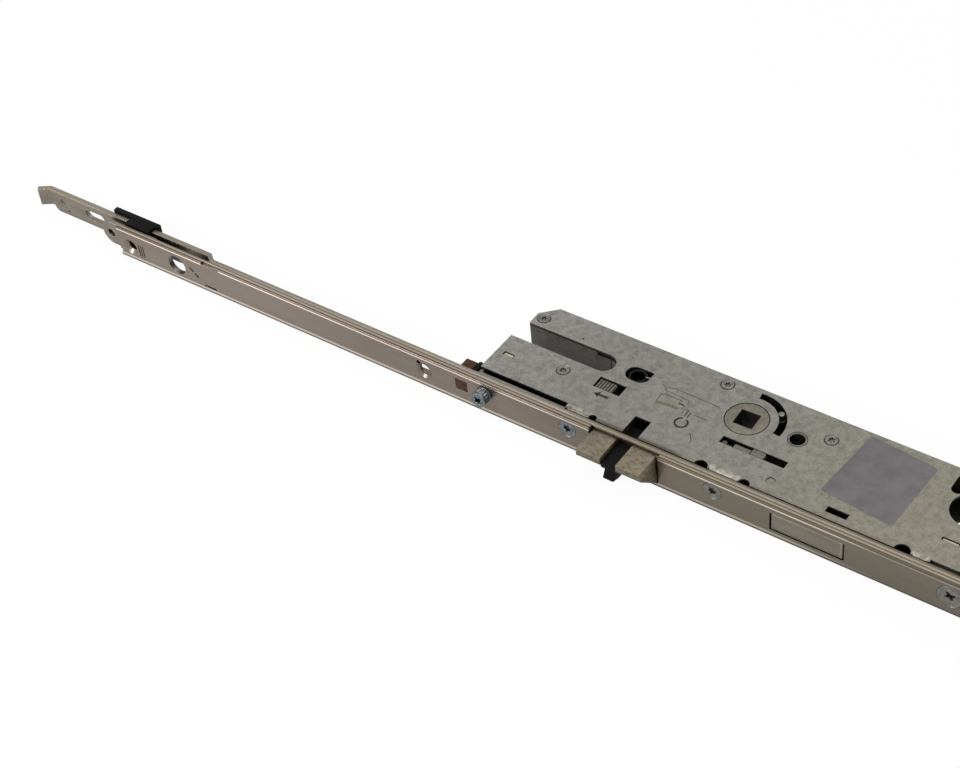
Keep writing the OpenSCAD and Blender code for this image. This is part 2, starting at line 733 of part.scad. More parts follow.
module latch_trigger() color(dark) at_face() union() {
  along_x(trigger_x0 + 0.2, trigger_x1) polygon([[-latch_out, trigger_top], [-latch_out, 1.6],
    [-1.2, -latch_half + 0.4], [trigger_back, -latch_half + 0.4], [trigger_back, trigger_top]]);
  along_x(trigger_x0 + 0.9, trigger_x1 - 0.9) polygon([[-7.4, 1], [-9.7, -4],
    [-5.6, -latch_half + 0.4], [-1, -latch_half + 0.4], [-1, 1]]);
}

module latch_tail() color(zinc) at_face() difference() {
  union() {
    slab(trigger_x1 + 0.4, latch_x1, latch_back, latch_back + tail_t, -5, 5);
    slab(latch_x1 - 3.8, latch_x1, latch_back, ledge_y + 2, tail_z0, tail_z1);
    slab(latch_x1 - 3.8, ledge_end, ledge_y, ledge_y + 2, tail_z0, tail_z1);
  }
  for (z = [-0.5, 3.5]) rod_y(latch_x1 - 1.9, z, 0.9, latch_back - 1, latch_back + 3, $fn = 24);
}

module latch_rivets() color(steel) at_face() for (z = [-0.5, 3.5]) {
  rod_y(latch_x1 - 1.9, z, 0.9, latch_back - 4, latch_back + tail_t, $fn = 24);
  rod_y(latch_x1 - 1.9, z, 1.4, latch_back + tail_t, latch_back + tail_t + 0.7, $fn = 24);
}

module spring_seat_block() color(zinc) at_face() union() {
  slab(latch_x1 - 13, latch_x1 - 4.2, spring_seat, spring_seat + seat_t, -inner, inner);
  slab(latch_x1 - 13, latch_x1 - 4.2, spring_seat, spring_seat + 7, -inner, -inner + 1.5);
  rod_y(latch_x1 - 8.8, 0, 1.5, spring_seat - 2, spring_seat);
}

module latch_spring() color(steel) at_face()
  translate([latch_x1 - 8.8, latch_back + tail_t, 0])
    spring(latch_coil);

module trigger_spring() color(steel) at_face()
  translate([(trigger_x0 + trigger_x1) / 2, trigger_back, -1])
    spring(trigger_coil);

// Deadbolt

module deadbolt() color(beige) at_face() difference() {
  slab(bolt_x0, bolt_x1, bolt_y0, bolt_back, -bolt_half, bolt_half);
  slab(bolt_x1 - 13.2, bolt_x1 - 2.2, drive_y0 - 0.1, drive_y0 + 5.9, 1.2, bolt_half + 1);
  rod_z(bolt_pin_x, bolt_pin_y, bolt_pin_r, -bolt_half - 1, 0);
}

module deadbolt_pin() color(steel) at_face()
  rod_z(bolt_pin_x, bolt_pin_y, bolt_pin_r, -inner + 0.4, 0);

module deadbolt_guides() color(zinc) at_face() for (x = [bolt_x0 - bolt_gap - 2.6,
    bolt_x1 + bolt_gap]) slab(x, x + 2.6, drive_y0 + 0.6, bolt_back, -bolt_half, inner);

// Key pinions

function tooth_side(r, w, a) = [r * cos(a) - w * sin(a), r * sin(a) + w * cos(a)];

// half widths of a tooth at radii from root to tip
flank = [[4.6, 0.6], [5.64, 0.657], [6, 0.61], [6.4, 0.46], [6.8, 0.25]];

module pinion() difference() {
  raised(pinion_z0, pinion_z1) polygon([for (i = [0:teeth - 1])
    let(a = -90 + 360 / teeth * i) each concat(
      [for (k = [0:4]) tooth_side(flank[k][0], -flank[k][1], a)],
      [for (k = [4:-1:0]) tooth_side(flank[k][0], flank[k][1], a)])]);
  cylinder(r = axle_r + axle_gap, h = case_t, center = true);
}

module key_pinion_upper() color(steel) at_face()
  translate([centres - pinion_side, pinion_y, 0]) pinion();

module key_pinion_lower() color(steel) at_face()
  translate([centres + pinion_side, pinion_y, 0]) pinion();

module pinion_axles() color(zinc) at_face() for (side = [-1, 1])
  rod_z(centres + side * pinion_side, pinion_y, axle_r, -inner, pinion_z1);

// Sliders that show in the cover

module reversing_base() color(zinc) at_face()
  slab(slider_x0 - 5.4, latch_x0 - 1.6, slider_y0 - 1.4, slider_y1 + 0.5, -inner, 4);

module reversing_slider() color(beige) at_face() difference() {
  union() {
    slab(slider_x0 - 2.6, slider_x1 - 4.2, slider_y0 - 1, slider_y1 + 0.4, 4.1, inner - 0.3);
    slab(slider_x0 + 0.3, slider_x1 - 4, slider_y0 + 0.3, slider_y1 - 0.3, 4.1, half - 0.2);
  }
  for (rib = [0:4]) slab(slider_x0 + 1 + 1.4 * rib, slider_x0 + 1.6 + 1.4 * rib,
    slider_y0, slider_y1, half - 0.7, half + 1);
}

module snib_base() color(zinc) at_face()
  slab(5, snib_x1, snib_y0 - 1.8, snib_y1 + 1, -inner, 1.7);

module snib_slider() color(beige) at_face() union() {
  slab(snib_block_x0 - 0.8, snib_block_x1, snib_y0 - 1.6, snib_y1 + 1, 1.8, inner - 0.3);
  slab(snib_block_x0, snib_block_x1, snib_y0 + 0.3, snib_y1 - 0.3, 1.8, half - 0.6);
  // rod inside the spring
  along_x(snib_rod_x, snib_block_x0) translate([(snib_y0 + snib_y1) / 2, snib_rod_z])
    circle(r = 0.6, $fn = 24);
}

module snib_peg() color(steel) at_face()
  rod_z(peg_x, (snib_y0 + snib_y1) / 2 - 0.4, peg_r, -inner, half - 1);

module snib_spring() color(steel) at_face()
  translate([peg_x + peg_r, (snib_y0 + snib_y1) / 2, snib_rod_z]) rotate(-90) spring(snib_coil);

faceplate();
upper_end_lug();
lower_end_lug();
upper_guide_clip();
lower_guide_clip();
centre_clip();
clip_finger();
drive_rail();
drive_plate();
drive_rack();
rack_rivets();
case_base();
case_walls();
channel_liner();
locating_tabs();
case_cover();
case_posts();
cover_screws();
faceplate_screws();
transport_screw();
cylinder_screw();
screw_sleeves();
follower();
follower_pin();
latch_bolt();
latch_trigger();
latch_tail();
latch_rivets();
spring_seat_block();
latch_spring();
trigger_spring();
deadbolt();
deadbolt_pin();
deadbolt_guides();
key_pinion_upper();
key_pinion_lower();
pinion_axles();
reversing_base();
reversing_slider();
snib_base();
snib_slider();
snib_spring();
snib_peg();

echo("clear distance between the coils, latch, trigger and snib:",
  coil_gap(latch_coil), coil_gap(trigger_coil), coil_gap(snib_coil));
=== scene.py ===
# %% [markdown]
# # A multipoint door lock, from measured solids to a studio picture
# The lock arrives as plain solids with true sizes and true places. This script gives
# them their looks: worn sheet edges with painted highlights, painted light and shade, cast
# bolts, plated screws, wound springs and a studio to stand in. Every piece stays where the
# solids say, so nothing is fitted by eye.

# %% Load the measured lock
import json
import math

import bmesh
import bpy
from mathutils import Matrix, Vector


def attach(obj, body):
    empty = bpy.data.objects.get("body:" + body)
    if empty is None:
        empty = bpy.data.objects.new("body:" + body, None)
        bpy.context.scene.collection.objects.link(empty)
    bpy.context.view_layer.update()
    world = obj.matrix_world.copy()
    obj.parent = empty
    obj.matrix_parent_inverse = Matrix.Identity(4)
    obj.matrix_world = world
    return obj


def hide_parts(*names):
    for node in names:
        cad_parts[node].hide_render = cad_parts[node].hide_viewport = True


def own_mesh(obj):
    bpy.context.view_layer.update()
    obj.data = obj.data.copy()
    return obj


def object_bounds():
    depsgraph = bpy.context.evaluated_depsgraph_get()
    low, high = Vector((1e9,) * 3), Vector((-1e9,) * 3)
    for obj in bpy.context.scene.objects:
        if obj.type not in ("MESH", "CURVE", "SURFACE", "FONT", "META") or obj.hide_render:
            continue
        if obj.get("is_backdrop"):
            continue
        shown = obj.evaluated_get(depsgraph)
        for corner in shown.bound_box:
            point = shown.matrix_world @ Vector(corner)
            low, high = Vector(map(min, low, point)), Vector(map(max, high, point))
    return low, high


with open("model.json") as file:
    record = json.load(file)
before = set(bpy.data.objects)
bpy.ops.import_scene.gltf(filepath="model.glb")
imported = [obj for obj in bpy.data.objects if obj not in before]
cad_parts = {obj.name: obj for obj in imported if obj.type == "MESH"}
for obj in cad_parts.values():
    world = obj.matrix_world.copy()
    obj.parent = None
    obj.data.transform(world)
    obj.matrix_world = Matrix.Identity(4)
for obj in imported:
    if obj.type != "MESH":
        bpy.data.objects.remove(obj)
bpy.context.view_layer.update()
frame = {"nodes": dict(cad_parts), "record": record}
BACKSET = 35.0  # mm from the faceplate's front to the spindle


def at(x, y, z):
    """A place in metres, from mm: x down the door from the spindle, y in from the
    faceplate's front, z up from the middle of the case."""
    return Vector((x, y - BACKSET, z)) / 1000


# %% [markdown]
# ## The camera
# The photograph was taken from in front of the lock, above it and to its right, with
# the camera rolled. The pose below was solved from known sizes: the 8 mm spindle,
# the 35 mm backset and the 16 mm faceplate. A camera looks down its own -Z, so the
# matrix has the right, up and backward directions as its columns.

# %% Place the camera
eye = Vector((0.264426, -0.468508, 0.537476))
forward = Vector((-0.46877, 0.55890, -0.68402)).normalized()
up = Vector((-0.34729, 0.59540, 0.72449)).normalized()
right = forward.cross(up).normalized()
up = right.cross(forward)
lens = bpy.data.cameras.new("photo_camera")
lens.sensor_fit, lens.sensor_width, lens.lens = "HORIZONTAL", 36, 74.39
lens.clip_start, lens.clip_end = 0.02, 20
camera = bpy.data.objects.new("photo_camera", lens)
bpy.context.scene.collection.objects.link(camera)
camera.matrix_world = Matrix((
    (right.x, up.x, -forward.x, eye.x),
    (right.y, up.y, -forward.y, eye.y),
    (right.z, up.z, -forward.z, eye.z),
    (0, 0, 0, 1)))
bpy.context.scene.camera = camera
print("camera distance to the spindle", round(eye.length, 3), "m")

# %% [markdown]
# ## Small helpers for node trees
# A shader or geometry tree is easier to read when a node is made, filled in and wired
# in one line. These helpers take the values for a node's sockets by name, and a value
# that is itself a socket becomes a wire.

# %% Node helpers


def add(tree, kind, values=None, **settings):
    """One node: its settings are attributes, its values go on named or numbered sockets."""
    node = tree.nodes.new(kind)
    for key, value in settings.items():
        setattr(node, key, value)
    for key, value in (values or {}).items():
        socket = node.inputs[key]
        if isinstance(value, bpy.types.NodeSocket):
            tree.links.new(value, socket)
        else:
            socket.default_value = value
    return node


def math_node(tree, operation, a, b=0.0, clamp=False):
    """The one output of a Math node."""
    node = add(tree, "ShaderNodeMath", {0: a, 1: b}, operation=operation, use_clamp=clamp)
    return node.outputs[0]


def blend_colour(tree, factor, a, b, mode="MIX"):
    """The colour output of a Mix node."""
    node = add(tree, "ShaderNodeMix", {0: factor, 6: a, 7: b}, data_type="RGBA", blend_type=mode)
    return node.outputs[2]


def ramp(tree, value, low, high):
    """0 below low, 1 above high, smooth between."""
    node = add(tree, "ShaderNodeMapRange", {0: value, 1: low, 2: high, 3: 0.0, 4: 1.0},
               interpolation_type="SMOOTHSTEP")
    return node.outputs[0]


def on_piece(tree):
    """Where a point lies in its piece's own space, in metres."""
    return add(tree, "ShaderNodeTexCoord").outputs["Object"]


def noise(tree, where, scale, detail=2.0, **more):
    """The grey output of a Noise texture."""
    values = {"Vector": where, "Scale": scale, "Detail": detail, **more}
    return add(tree, "ShaderNodeTexNoise", values).outputs["Fac"]


def new_group(name, inputs, outputs, kind="ShaderNodeTree"):
    """An empty node group with named sockets. Each input is (name, type, default)."""
    tree = bpy.data.node_groups.new(name, kind)
    for title, sort, default in inputs:
        socket = tree.interface.new_socket(title, in_out="INPUT", socket_type=sort)
        if default is not None:
            socket.default_value = default
    for title, sort in outputs:
        tree.interface.new_socket(title, in_out="OUTPUT", socket_type=sort)
    return tree, tree.nodes.new("NodeGroupInput"), tree.nodes.new("NodeGroupOutput")


def colour(r, g, b):
    """A colour written as the screen shows it, from 0 to 255, turned to linear light."""
    def linear(v):
        v /= 255
        return v / 12.92 if v < 0.04045 else ((v + 0.055) / 1.055) ** 2.4
    return (linear(r), linear(g), linear(b), 1.0)


print("helpers ready")

# %% [markdown]
# ## Effects that several finishes share
# Real lock parts are never one even colour. The sheet is mottled by its zinc bath, cut
# edges are polished by handling and also get a painted highlight on most parts and painted
# shade on a few, and everything that slides carries fine scratches.
# Images could carry all this, but they need an unwrapped mesh and blur up close, so each
# effect is one shader group, built once and given its own numbers in each finish.
# Object coordinates are used, so that a pattern keeps to its piece in every view.

# %% Group: mottled tone


def build_mottle():
    tree, start, end = new_group("mottle", [
        ("Patch size", "NodeSocketFloat", 0.006), ("Grain size", "NodeSocketFloat", 0.0006),
        ("Stretch", "NodeSocketVector", (1.0, 1.0, 1.0))],
        [("Patches", "NodeSocketFloat"), ("Grain", "NodeSocketFloat")])
    where = add(tree, "ShaderNodeVectorMath", {0: on_piece(tree), 1: start.outputs["Stretch"]},
                operation="MULTIPLY").outputs[0]
    patch = math_node(tree, "DIVIDE", 1.0, start.outputs["Patch size"])
    grain = math_node(tree, "DIVIDE", 1.0, start.outputs["Grain size"])
    cloud = noise(tree, where, patch, 5.0, Roughness=0.62, Distortion=0.6)
    cell = add(tree, "ShaderNodeTexVoronoi", {"Vector": where, "Scale": patch,
                                              "Randomness": 1.0}, feature="SMOOTH_F1")
    cells = math_node(tree, "MULTIPLY", cell.outputs["Distance"], 0.35)
    mixed = math_node(tree, "ADD", cloud, cells)
    tree.links.new(ramp(tree, mixed, 0.38, 0.86), end.inputs["Patches"])
    tree.links.new(noise(tree, where, grain, 3.0, Roughness=0.7), end.inputs["Grain"])
    return tree


MOTTLE = build_mottle()
print("group", MOTTLE.name)

# %% Group: worn edges, which also carry painted edge highlights and painted shade


def build_edge_wear_and_highlight():
    tree, start, end = new_group("edge wear and painted highlight", [
        ("Radius", "NodeSocketFloat", 0.0003), ("Break up", "NodeSocketFloat", 0.35)],
        [("Mask", "NodeSocketFloat"), ("Normal", "NodeSocketVector")])
    soft = add(tree, "ShaderNodeBevel", {"Radius": start.outputs["Radius"]}, samples=4)
    sharp = add(tree, "ShaderNodeNewGeometry").outputs["Normal"]
    along = add(tree, "ShaderNodeVectorMath", {0: soft.outputs[0], 1: sharp},
                operation="DOT_PRODUCT").outputs["Value"]
    bend = ramp(tree, math_node(tree, "SUBTRACT", 1.0, along), 0.01, 0.16)
    patchy = noise(tree, on_piece(tree), 420.0, 3.0)
    gap = math_node(tree, "MULTIPLY", patchy, start.outputs["Break up"])
    # the mask marks the rounded edges, for wear and for the painted highlight or painted shade a
    # finish lays there
    tree.links.new(math_node(tree, "SUBTRACT", bend, gap, clamp=True), end.inputs["Mask"])
    tree.links.new(soft.outputs[0], end.inputs["Normal"])
    return tree


EDGE_WEAR_AND_HIGHLIGHT = build_edge_wear_and_highlight()
print("group", EDGE_WEAR_AND_HIGHLIGHT.name)

# %% Group: dirt in the joints and painted shade in hollows


def shut_in(tree, distance):
    """0 on open ground, towards 1 where other faces stand within a distance."""
    around = add(tree, "ShaderNodeAmbientOcclusion", {"Distance": distance}, samples=6)
    return math_node(tree, "SUBTRACT", 1.0, around.outputs["AO"])


def build_dirt_and_shade():
    tree, start, end = new_group("dirt and painted shade in the joints", [
        ("Reach", "NodeSocketFloat", 0.0008), ("Strength", "NodeSocketFloat", 0.8),
        ("Depth", "NodeSocketFloat", 0.014)],
        [("Mask", "NodeSocketFloat")])
    # near other faces: dirt in the joints, together with painted shade in the creases
    near = ramp(tree, shut_in(tree, start.outputs["Reach"]), 0.12, 0.75)
    dark = math_node(tree, "MULTIPLY", near, start.outputs["Strength"])
    # further off: painted shade that makes hollows and the insides of windows nearly black
    deep = ramp(tree, shut_in(tree, start.outputs["Depth"]), 0.52, 0.8)
    deep = math_node(tree, "MULTIPLY", deep, 0.96)
    tree.links.new(math_node(tree, "MAXIMUM", dark, deep), end.inputs["Mask"])
    return tree


DIRT_AND_SHADE = build_dirt_and_shade()
print("group", DIRT_AND_SHADE.name)

# %% Group: hair scratches


def build_scratches():
    tree, start, end = new_group("scratches", [
        ("Spacing", "NodeSocketFloat", 0.004), ("Along", "NodeSocketVector", (0.03, 1.0, 1.0)),
        ("Turn", "NodeSocketFloat", 0.0)],
        [("Mask", "NodeSocketFloat")])
    where = on_piece(tree)
    total = None
    for step, angle in enumerate((0.0, 0.5, -0.9)):  # three ways of rubbing, in radians
        turn = add(tree, "ShaderNodeVectorRotate", {
            "Vector": where, "Angle": math_node(tree, "ADD", start.outputs["Turn"], angle)},
            rotation_type="Z_AXIS").outputs[0]
        long = add(tree, "ShaderNodeVectorMath", {0: turn, 1: start.outputs["Along"]},
                   operation="MULTIPLY").outputs[0]
        scale = math_node(tree, "DIVIDE", 1.0 + 0.35 * step, start.outputs["Spacing"])
        line = noise(tree, long, scale, 1.0, Distortion=0.25)
        ridge = math_node(tree, "ABSOLUTE", math_node(tree, "SUBTRACT", line, 0.5))
        thin = math_node(tree, "SUBTRACT", 1.0, ramp(tree, ridge, 0.0, 0.006))
        rare = ramp(tree, noise(tree, turn, 90.0 + 30 * step), 0.54, 0.66)
        thin = math_node(tree, "MULTIPLY", thin, rare)
        total = thin if total is None else math_node(tree, "MAXIMUM", total, thin)
    tree.links.new(total, end.inputs["Mask"])
    return tree


SCRATCHES = build_scratches()
print("group", SCRATCHES.name)

# %% Group: a band along one axis


def build_band():
    tree, start, end = new_group("band", [
        ("Axis", "NodeSocketVector", (0.0, 0.0, 1.0)), ("Low", "NodeSocketFloat", 0.0),
        ("High", "NodeSocketFloat", 0.001), ("Soft", "NodeSocketFloat", 0.0001)],
        [("Mask", "NodeSocketFloat")])
    along = add(tree, "ShaderNodeVectorMath", {0: on_piece(tree), 1: start.outputs["Axis"]},
                operation="DOT_PRODUCT").outputs["Value"]
    low, high, soft = (start.outputs[title] for title in ("Low", "High", "Soft"))
    rise = ramp(tree, along, math_node(tree, "SUBTRACT", low, soft), low)
    fall = ramp(tree, along, high, math_node(tree, "ADD", high, soft))
    tree.links.new(math_node(tree, "SUBTRACT", rise, fall, clamp=True), end.inputs["Mask"])
    return tree


BAND = build_band()
print("group", BAND.name)

# %% [markdown]
# ## Finishes
# Zinc-plated steel is a metal with a dull, slightly rough skin, so the Principled
# shader is mostly metallic with a roughness near a half. Moulded plastic is not
# metallic and has a fine spark-eroded grain. One function makes every finish from three
# tones and a few numbers, and what differs is named in the call: patch and grain are the
# sizes of the cloudy tone and the fine speckle, one width sets how far the polish of an
# edge and its painted highlight or painted shade reach, and reach and depth are how near
# and how far dirt and painted shade gather in joints and hollows.

# %% A mask for a part of a piece
# each axis's direction, and where on it the millimetres are counted from
AXES = {"X": ((1, 0, 0), 0.0), "Y": ((0, 1, 0), BACKSET), "Z": ((0, 0, 1), 0.0)}


def band_mask(tree, limits):
    """1 inside a box in mm. Each limit is axis: (low, high, soft edge), and "broken" is
    the scale of a noise that breaks the mask up."""
    mask = None
    if "broken" in limits:
        mask = ramp(tree, noise(tree, on_piece(tree), limits["broken"], 3.0), 0.34, 0.62)
    for axis in (name for name in "XYZ" if name in limits):
        (low, high, soft), (along, start) = limits[axis], AXES[axis]
        inside = add(tree, "ShaderNodeGroup", {
            "Axis": along, "Low": (low - start) / 1000, "High": (high - start) / 1000,
            "Soft": soft / 1000}, node_tree=BAND).outputs["Mask"]
        mask = inside if mask is None else math_node(tree, "MULTIPLY", mask, inside)
    return mask


print("a band can lie along", " or ".join(AXES))

# %% A function for every finish
DIRT_AND_SHADE_COLOUR = colour(18, 16, 14)
POLISH = 0.2  # how much smoother than its ground a full scratch is


def new_material(name):
    """A material, its node tree and its Principled shader."""
    material = bpy.data.materials.new(name)
    material.use_nodes = True
    tree = material.node_tree
    return material, tree, tree.nodes["Principled BSDF"]


def finish(name, base, light, dark, metallic, roughness, patch=0.006, grain=0.0006,
           stretch=(1, 1, 1), patch_share=0.5, rough_share=0.12, bump=0.00002, edge_radius=0.0003,
           edge_colour=None, edge_colour_share=0.7, scratch=0.0, scratch_turn=0.0, dirt_and_shade=0.8, reach=0.0008,
           depth=0.014, speckle=0.25, bands=(), specular=0.5):
    """A procedural finish, its lengths in metres and its colours as the screen shows them.
    Each band is (limits, factor): inside the limits the paint is multiplied by the factor,
    mostly to paint light and shade into it. The edge colour lies on rounded edges as wear
    and as a painted highlight where it is lighter, painted shade where it is darker, and
    joints and hollows get dirt and painted shade."""
    base, light, dark = colour(*base), colour(*light), colour(*dark)
    edge_colour = colour(*edge_colour) if edge_colour else None
    material, tree, shader = new_material(name)
    tone = add(tree, "ShaderNodeGroup", {"Patch size": patch, "Grain size": grain,
                                         "Stretch": stretch}, node_tree=MOTTLE)
    edge = add(tree, "ShaderNodeGroup", {"Radius": edge_radius}, node_tree=EDGE_WEAR_AND_HIGHLIGHT)
    cloud = math_node(tree, "MULTIPLY", tone.outputs["Patches"], patch_share)
    paint = blend_colour(tree, 0.5, blend_colour(tree, cloud, dark, light), base)
    speck = ramp(tree, tone.outputs["Grain"], 0.5, 0.72)
    pit = math_node(tree, "SUBTRACT", 1.0, ramp(tree, tone.outputs["Grain"], 0.28, 0.5))
    paint = blend_colour(tree, math_node(tree, "MULTIPLY", speck, speckle), paint, light)
    paint = blend_colour(tree, math_node(tree, "MULTIPLY", pit, speckle), paint, dark)
    rough = math_node(tree, "MULTIPLY", tone.outputs["Patches"], rough_share)
    rough = math_node(tree, "ADD", rough, roughness)
    if scratch:
        line = add(tree, "ShaderNodeGroup", {"Turn": scratch_turn}, node_tree=SCRATCHES)
        amount = math_node(tree, "MULTIPLY", line.outputs["Mask"], scratch)
        paint = blend_colour(tree, amount, paint, edge_colour or light)
        rough = math_node(tree, "SUBTRACT", rough, math_node(tree, "MULTIPLY", amount, POLISH))
    # edge colour: wear, and a painted highlight where it is lighter than the paint, painted shade
    # where it is darker
    if edge_colour:
        share = math_node(tree, "MULTIPLY", edge.outputs["Mask"], edge_colour_share)
        paint = blend_colour(tree, share, paint, edge_colour)
    for limits, factor in bands:
        paint = blend_colour(tree, band_mask(tree, limits), paint, (*factor, 1.0), "MULTIPLY")
    # dirt in the joints, and painted shade in creases, recesses and windows
    dirt_and_shade_node = add(tree, "ShaderNodeGroup", {"Strength": dirt_and_shade, "Reach": reach, "Depth": depth},
               node_tree=DIRT_AND_SHADE)
    paint = blend_colour(tree, dirt_and_shade_node.outputs["Mask"], paint, DIRT_AND_SHADE_COLOUR)
    height = add(tree, "ShaderNodeBump", {"Strength": 1.0, "Distance": bump,
                                          "Height": tone.outputs["Grain"],
                                          "Normal": edge.outputs["Normal"]})
    tree.links.new(paint, shader.inputs["Base Color"])
    tree.links.new(rough, shader.inputs["Roughness"])
    tree.links.new(height.outputs[0], shader.inputs["Normal"])
    shader.inputs["Metallic"].default_value = metallic
    shader.inputs["Specular IOR Level"].default_value = specular
    return material


print("finish maker ready")

# %% [markdown]
# ## Sheet metal
# The case, its cover and its base are one galvanised sheet, the faceplate is the same
# kind of sheet in a warm colour, and the rail behind it is bare zinc. One sheet is not
# equally light all over: a rounded edge catches the light and a strip behind an edge
# lies in its shade, and here that light and shade are painted into the colour. Faces
# could be given several materials for this, but then the line between them would be hard.
# A band is a box in the lock's own millimetres, with soft sides, inside which the paint is
# multiplied, so a painted highlight or painted shade stays on its edge from every view.

# %% Case sheet finishes
FAR = 400  # mm, beyond both ends of the lock
BELOW, ABOVE = -9, 9  # mm, beyond its under and upper sides
TAB_SPANS = ((-62.4, -52.3), (0.6, 12.9), (82.6, 88.4))  # mm, the cover's front tabs
# painted highlight: the cover's bent front tabs are painted lighter where their crumples catch the
# light
tab_painted_highlight = [({"X": (a, b, 0.6), "Y": (0, 7.0, 1.6), "Z": (5, ABOVE, 0.5), "broken": 430.0},
              (1.75, 1.78, 1.8)) for a, b in TAB_SPANS]
lower_half = [({"X": (-55, FAR, 40)}, (0.88, 0.88, 0.86)),
              ({"X": (60, FAR, 60)}, (1.0, 0.98, 0.88))]
front_shade = [({"Y": (0, 5.6, 2.0), "X": (-75, -16, 8)}, (0.5, 0.49, 0.46)),
               ({"Y": (0, 5.4, 1.4)}, (0.8, 0.79, 0.76))]
# painted shade: the cover's lower skin and the walls of its windows are painted nearly black
under_cover_shade = [({"Z": (BELOW, 7.02, 0.05), "Y": (6.9, 60, 0.2)}, (0.08, 0.07, 0.06))]
# painted shade: the base is painted nearly black above its lower skin, inside the case
painted_floor_shade = [({"Z": (-7.2, ABOVE, 0.1)}, (0.12, 0.11, 0.09))]
galvanised = dict(base=(123, 121, 116), light=(152, 150, 144), dark=(90, 88, 84),
                  metallic=0.75, roughness=0.42, patch=0.0026, grain=0.0006, patch_share=0.8,
                  bump=0.00004, scratch=0.3, speckle=0.38)
outer = dict(galvanised, edge_radius=0.00018, scratch_turn=0.4, reach=0.0011)
SHEET = finish("galvanised_sheet", **outer, bands=lower_half)
COVER = finish("cover_sheet", **outer, bands=lower_half + tab_painted_highlight + front_shade + under_cover_shade)
TAB_TOP = finish("tab_top", (164, 160, 142), (186, 182, 164), (140, 136, 120), metallic=0.6,
                 roughness=0.45, grain=0.0005, dirt_and_shade=0.9, reach=0.0006)
# painted shade: a darker copy of the galvanised sheet for the channel liner and the snib peg, which
# lie in shade
INNER = finish("shaded_inner_sheet", (82, 80, 75), (106, 104, 98), (54, 52, 48), metallic=0.6,
               roughness=0.5, patch=0.003, patch_share=0.8, bump=0.00003, edge_radius=0.00018,
               scratch=0.2, dirt_and_shade=0.9, reach=0.003, depth=0.008)
# painted shade: the plates inside the case are painted nearly black above their lower skin
DEEP = finish("shaded_inside", (72, 70, 66), (96, 94, 88), (46, 44, 41), metallic=0.6,
              roughness=0.5, patch=0.003, dirt_and_shade=0.95, reach=0.003, specular=0.05,
              bands=[({"Z": (-7.3, ABOVE, 0.1)}, (0.12, 0.11, 0.09))])
BASE = finish("base_sheet", **galvanised, specular=0.05, bands=painted_floor_shade)
print("case sheet:", ", ".join(sheet.name for sheet in (SHEET, COVER, TAB_TOP, INNER, DEEP, BASE)))

# %% Faceplate and rail finishes
upper_front = {"Z": (6.7, 7.05, 0.3), "Y": (-1, 0.4, 0.3)}
# painted highlight: a bright line along the faceplate's upper front edge
bright_line = [({**upper_front, "X": span}, (4.3, 4.3, 4.4))
               for span in ((-FAR, -246, 0.3), (-235.5, FAR, 0.3))]  # the line has one gap
# painted light: the faceplate is painted lighter towards its upper end and darker towards its lower
# end
faceplate_ends = [({"X": (-FAR, -210, 70)}, (1.14, 1.14, 1.15)),
                  ({"X": (-35, FAR, 60)}, (0.75, 0.78, 0.72))]
# the painted highlight line is painted weaker towards the lower end
fading = [({"Z": (6.7, 7.3, 0.3), "Y": (-1, 0.6, 0.3), "X": (75, FAR, 25)}, (0.45, 0.45, 0.44))]
# painted shade and a painted highlight line along the faceplate's upper side
upper_side = [({"Z": (7.6, ABOVE, 0.3), "Y": (0.2, 0.8, 0.35)}, (0.5, 0.48, 0.45)),
              ({"Z": (7.6, ABOVE, 0.1), "Y": (1.25, 1.5, 0.3)}, (1.8, 1.8, 1.78)),
              ({"Z": (7.6, ABOVE, 0.1), "Y": (2.2, 3, 0.3)}, (0.6, 0.58, 0.55))]
# painted reflection: a pale line on the lower rounded edge; painted shade below it
under_front = [
    ({"Z": (-6.5, -5.8, 0.35), "Y": (-1, 0.4, 0.1), "X": (-FAR, 20, 60)}, (2.8, 2.85, 3.0)),
    ({"Z": (BELOW, -6.85, 0.2), "Y": (-1, 0.9, 0.1)}, (0.62, 0.62, 0.62))]
faceplate_bands = faceplate_ends + bright_line + fading + upper_side + under_front
CHAMPAGNE = finish("champagne_faceplate", (125, 115, 106), (138, 128, 118), (108, 99, 90),
                   metallic=0.9, roughness=0.3, patch=0.01, stretch=(0.12, 1, 1), patch_share=0.6,
                   bump=0.000006, edge_radius=0.0003, scratch=0.14, dirt_and_shade=0.92, reach=0.0009,
                   speckle=0.15, bands=faceplate_bands)
# painted highlight and painted shade lines along the rail's edges and its tongues, and the rail is
# painted darker towards its lower end; its pale edge colour is a painted highlight as well as wear
rail_edges = [({"X": (-30, FAR, 40)}, (0.62, 0.6, 0.58)),
              ({"Y": (3.1, 3.8, 0.2), "Z": (6.7, 8, 0.2)}, (1.45, 1.45, 1.43)),
              ({"Y": (2, 2.85, 0.15), "Z": (6.7, 8, 0.2)}, (0.55, 0.53, 0.5))]
for span in ((-FAR, -246, 2), (281, FAR, 2)):  # the narrow tongues at the two ends
    rail_edges += [({"X": span, "Z": (5.0, 5.4, 0.5), "Y": (6.7, 9.4, 0.2)}, (1.3, 1.3, 1.28)),
                   ({"X": span, "Z": (BELOW, -5.1, 0.15)}, (0.62, 0.6, 0.58))]
STRIP = finish("zinc_strip", (132, 124, 111), (154, 146, 132), (102, 95, 84), metallic=0.9,
               roughness=0.34, patch=0.008, stretch=(0.15, 1, 1), patch_share=0.7, bump=0.00001,
               edge_radius=0.0003, edge_colour=(190, 182, 168), edge_colour_share=0.5, scratch=0.18, dirt_and_shade=0.95,
               reach=0.0009, bands=rail_edges)
print("bands on the faceplate", len(faceplate_bands), "and on the rail", len(rail_edges))

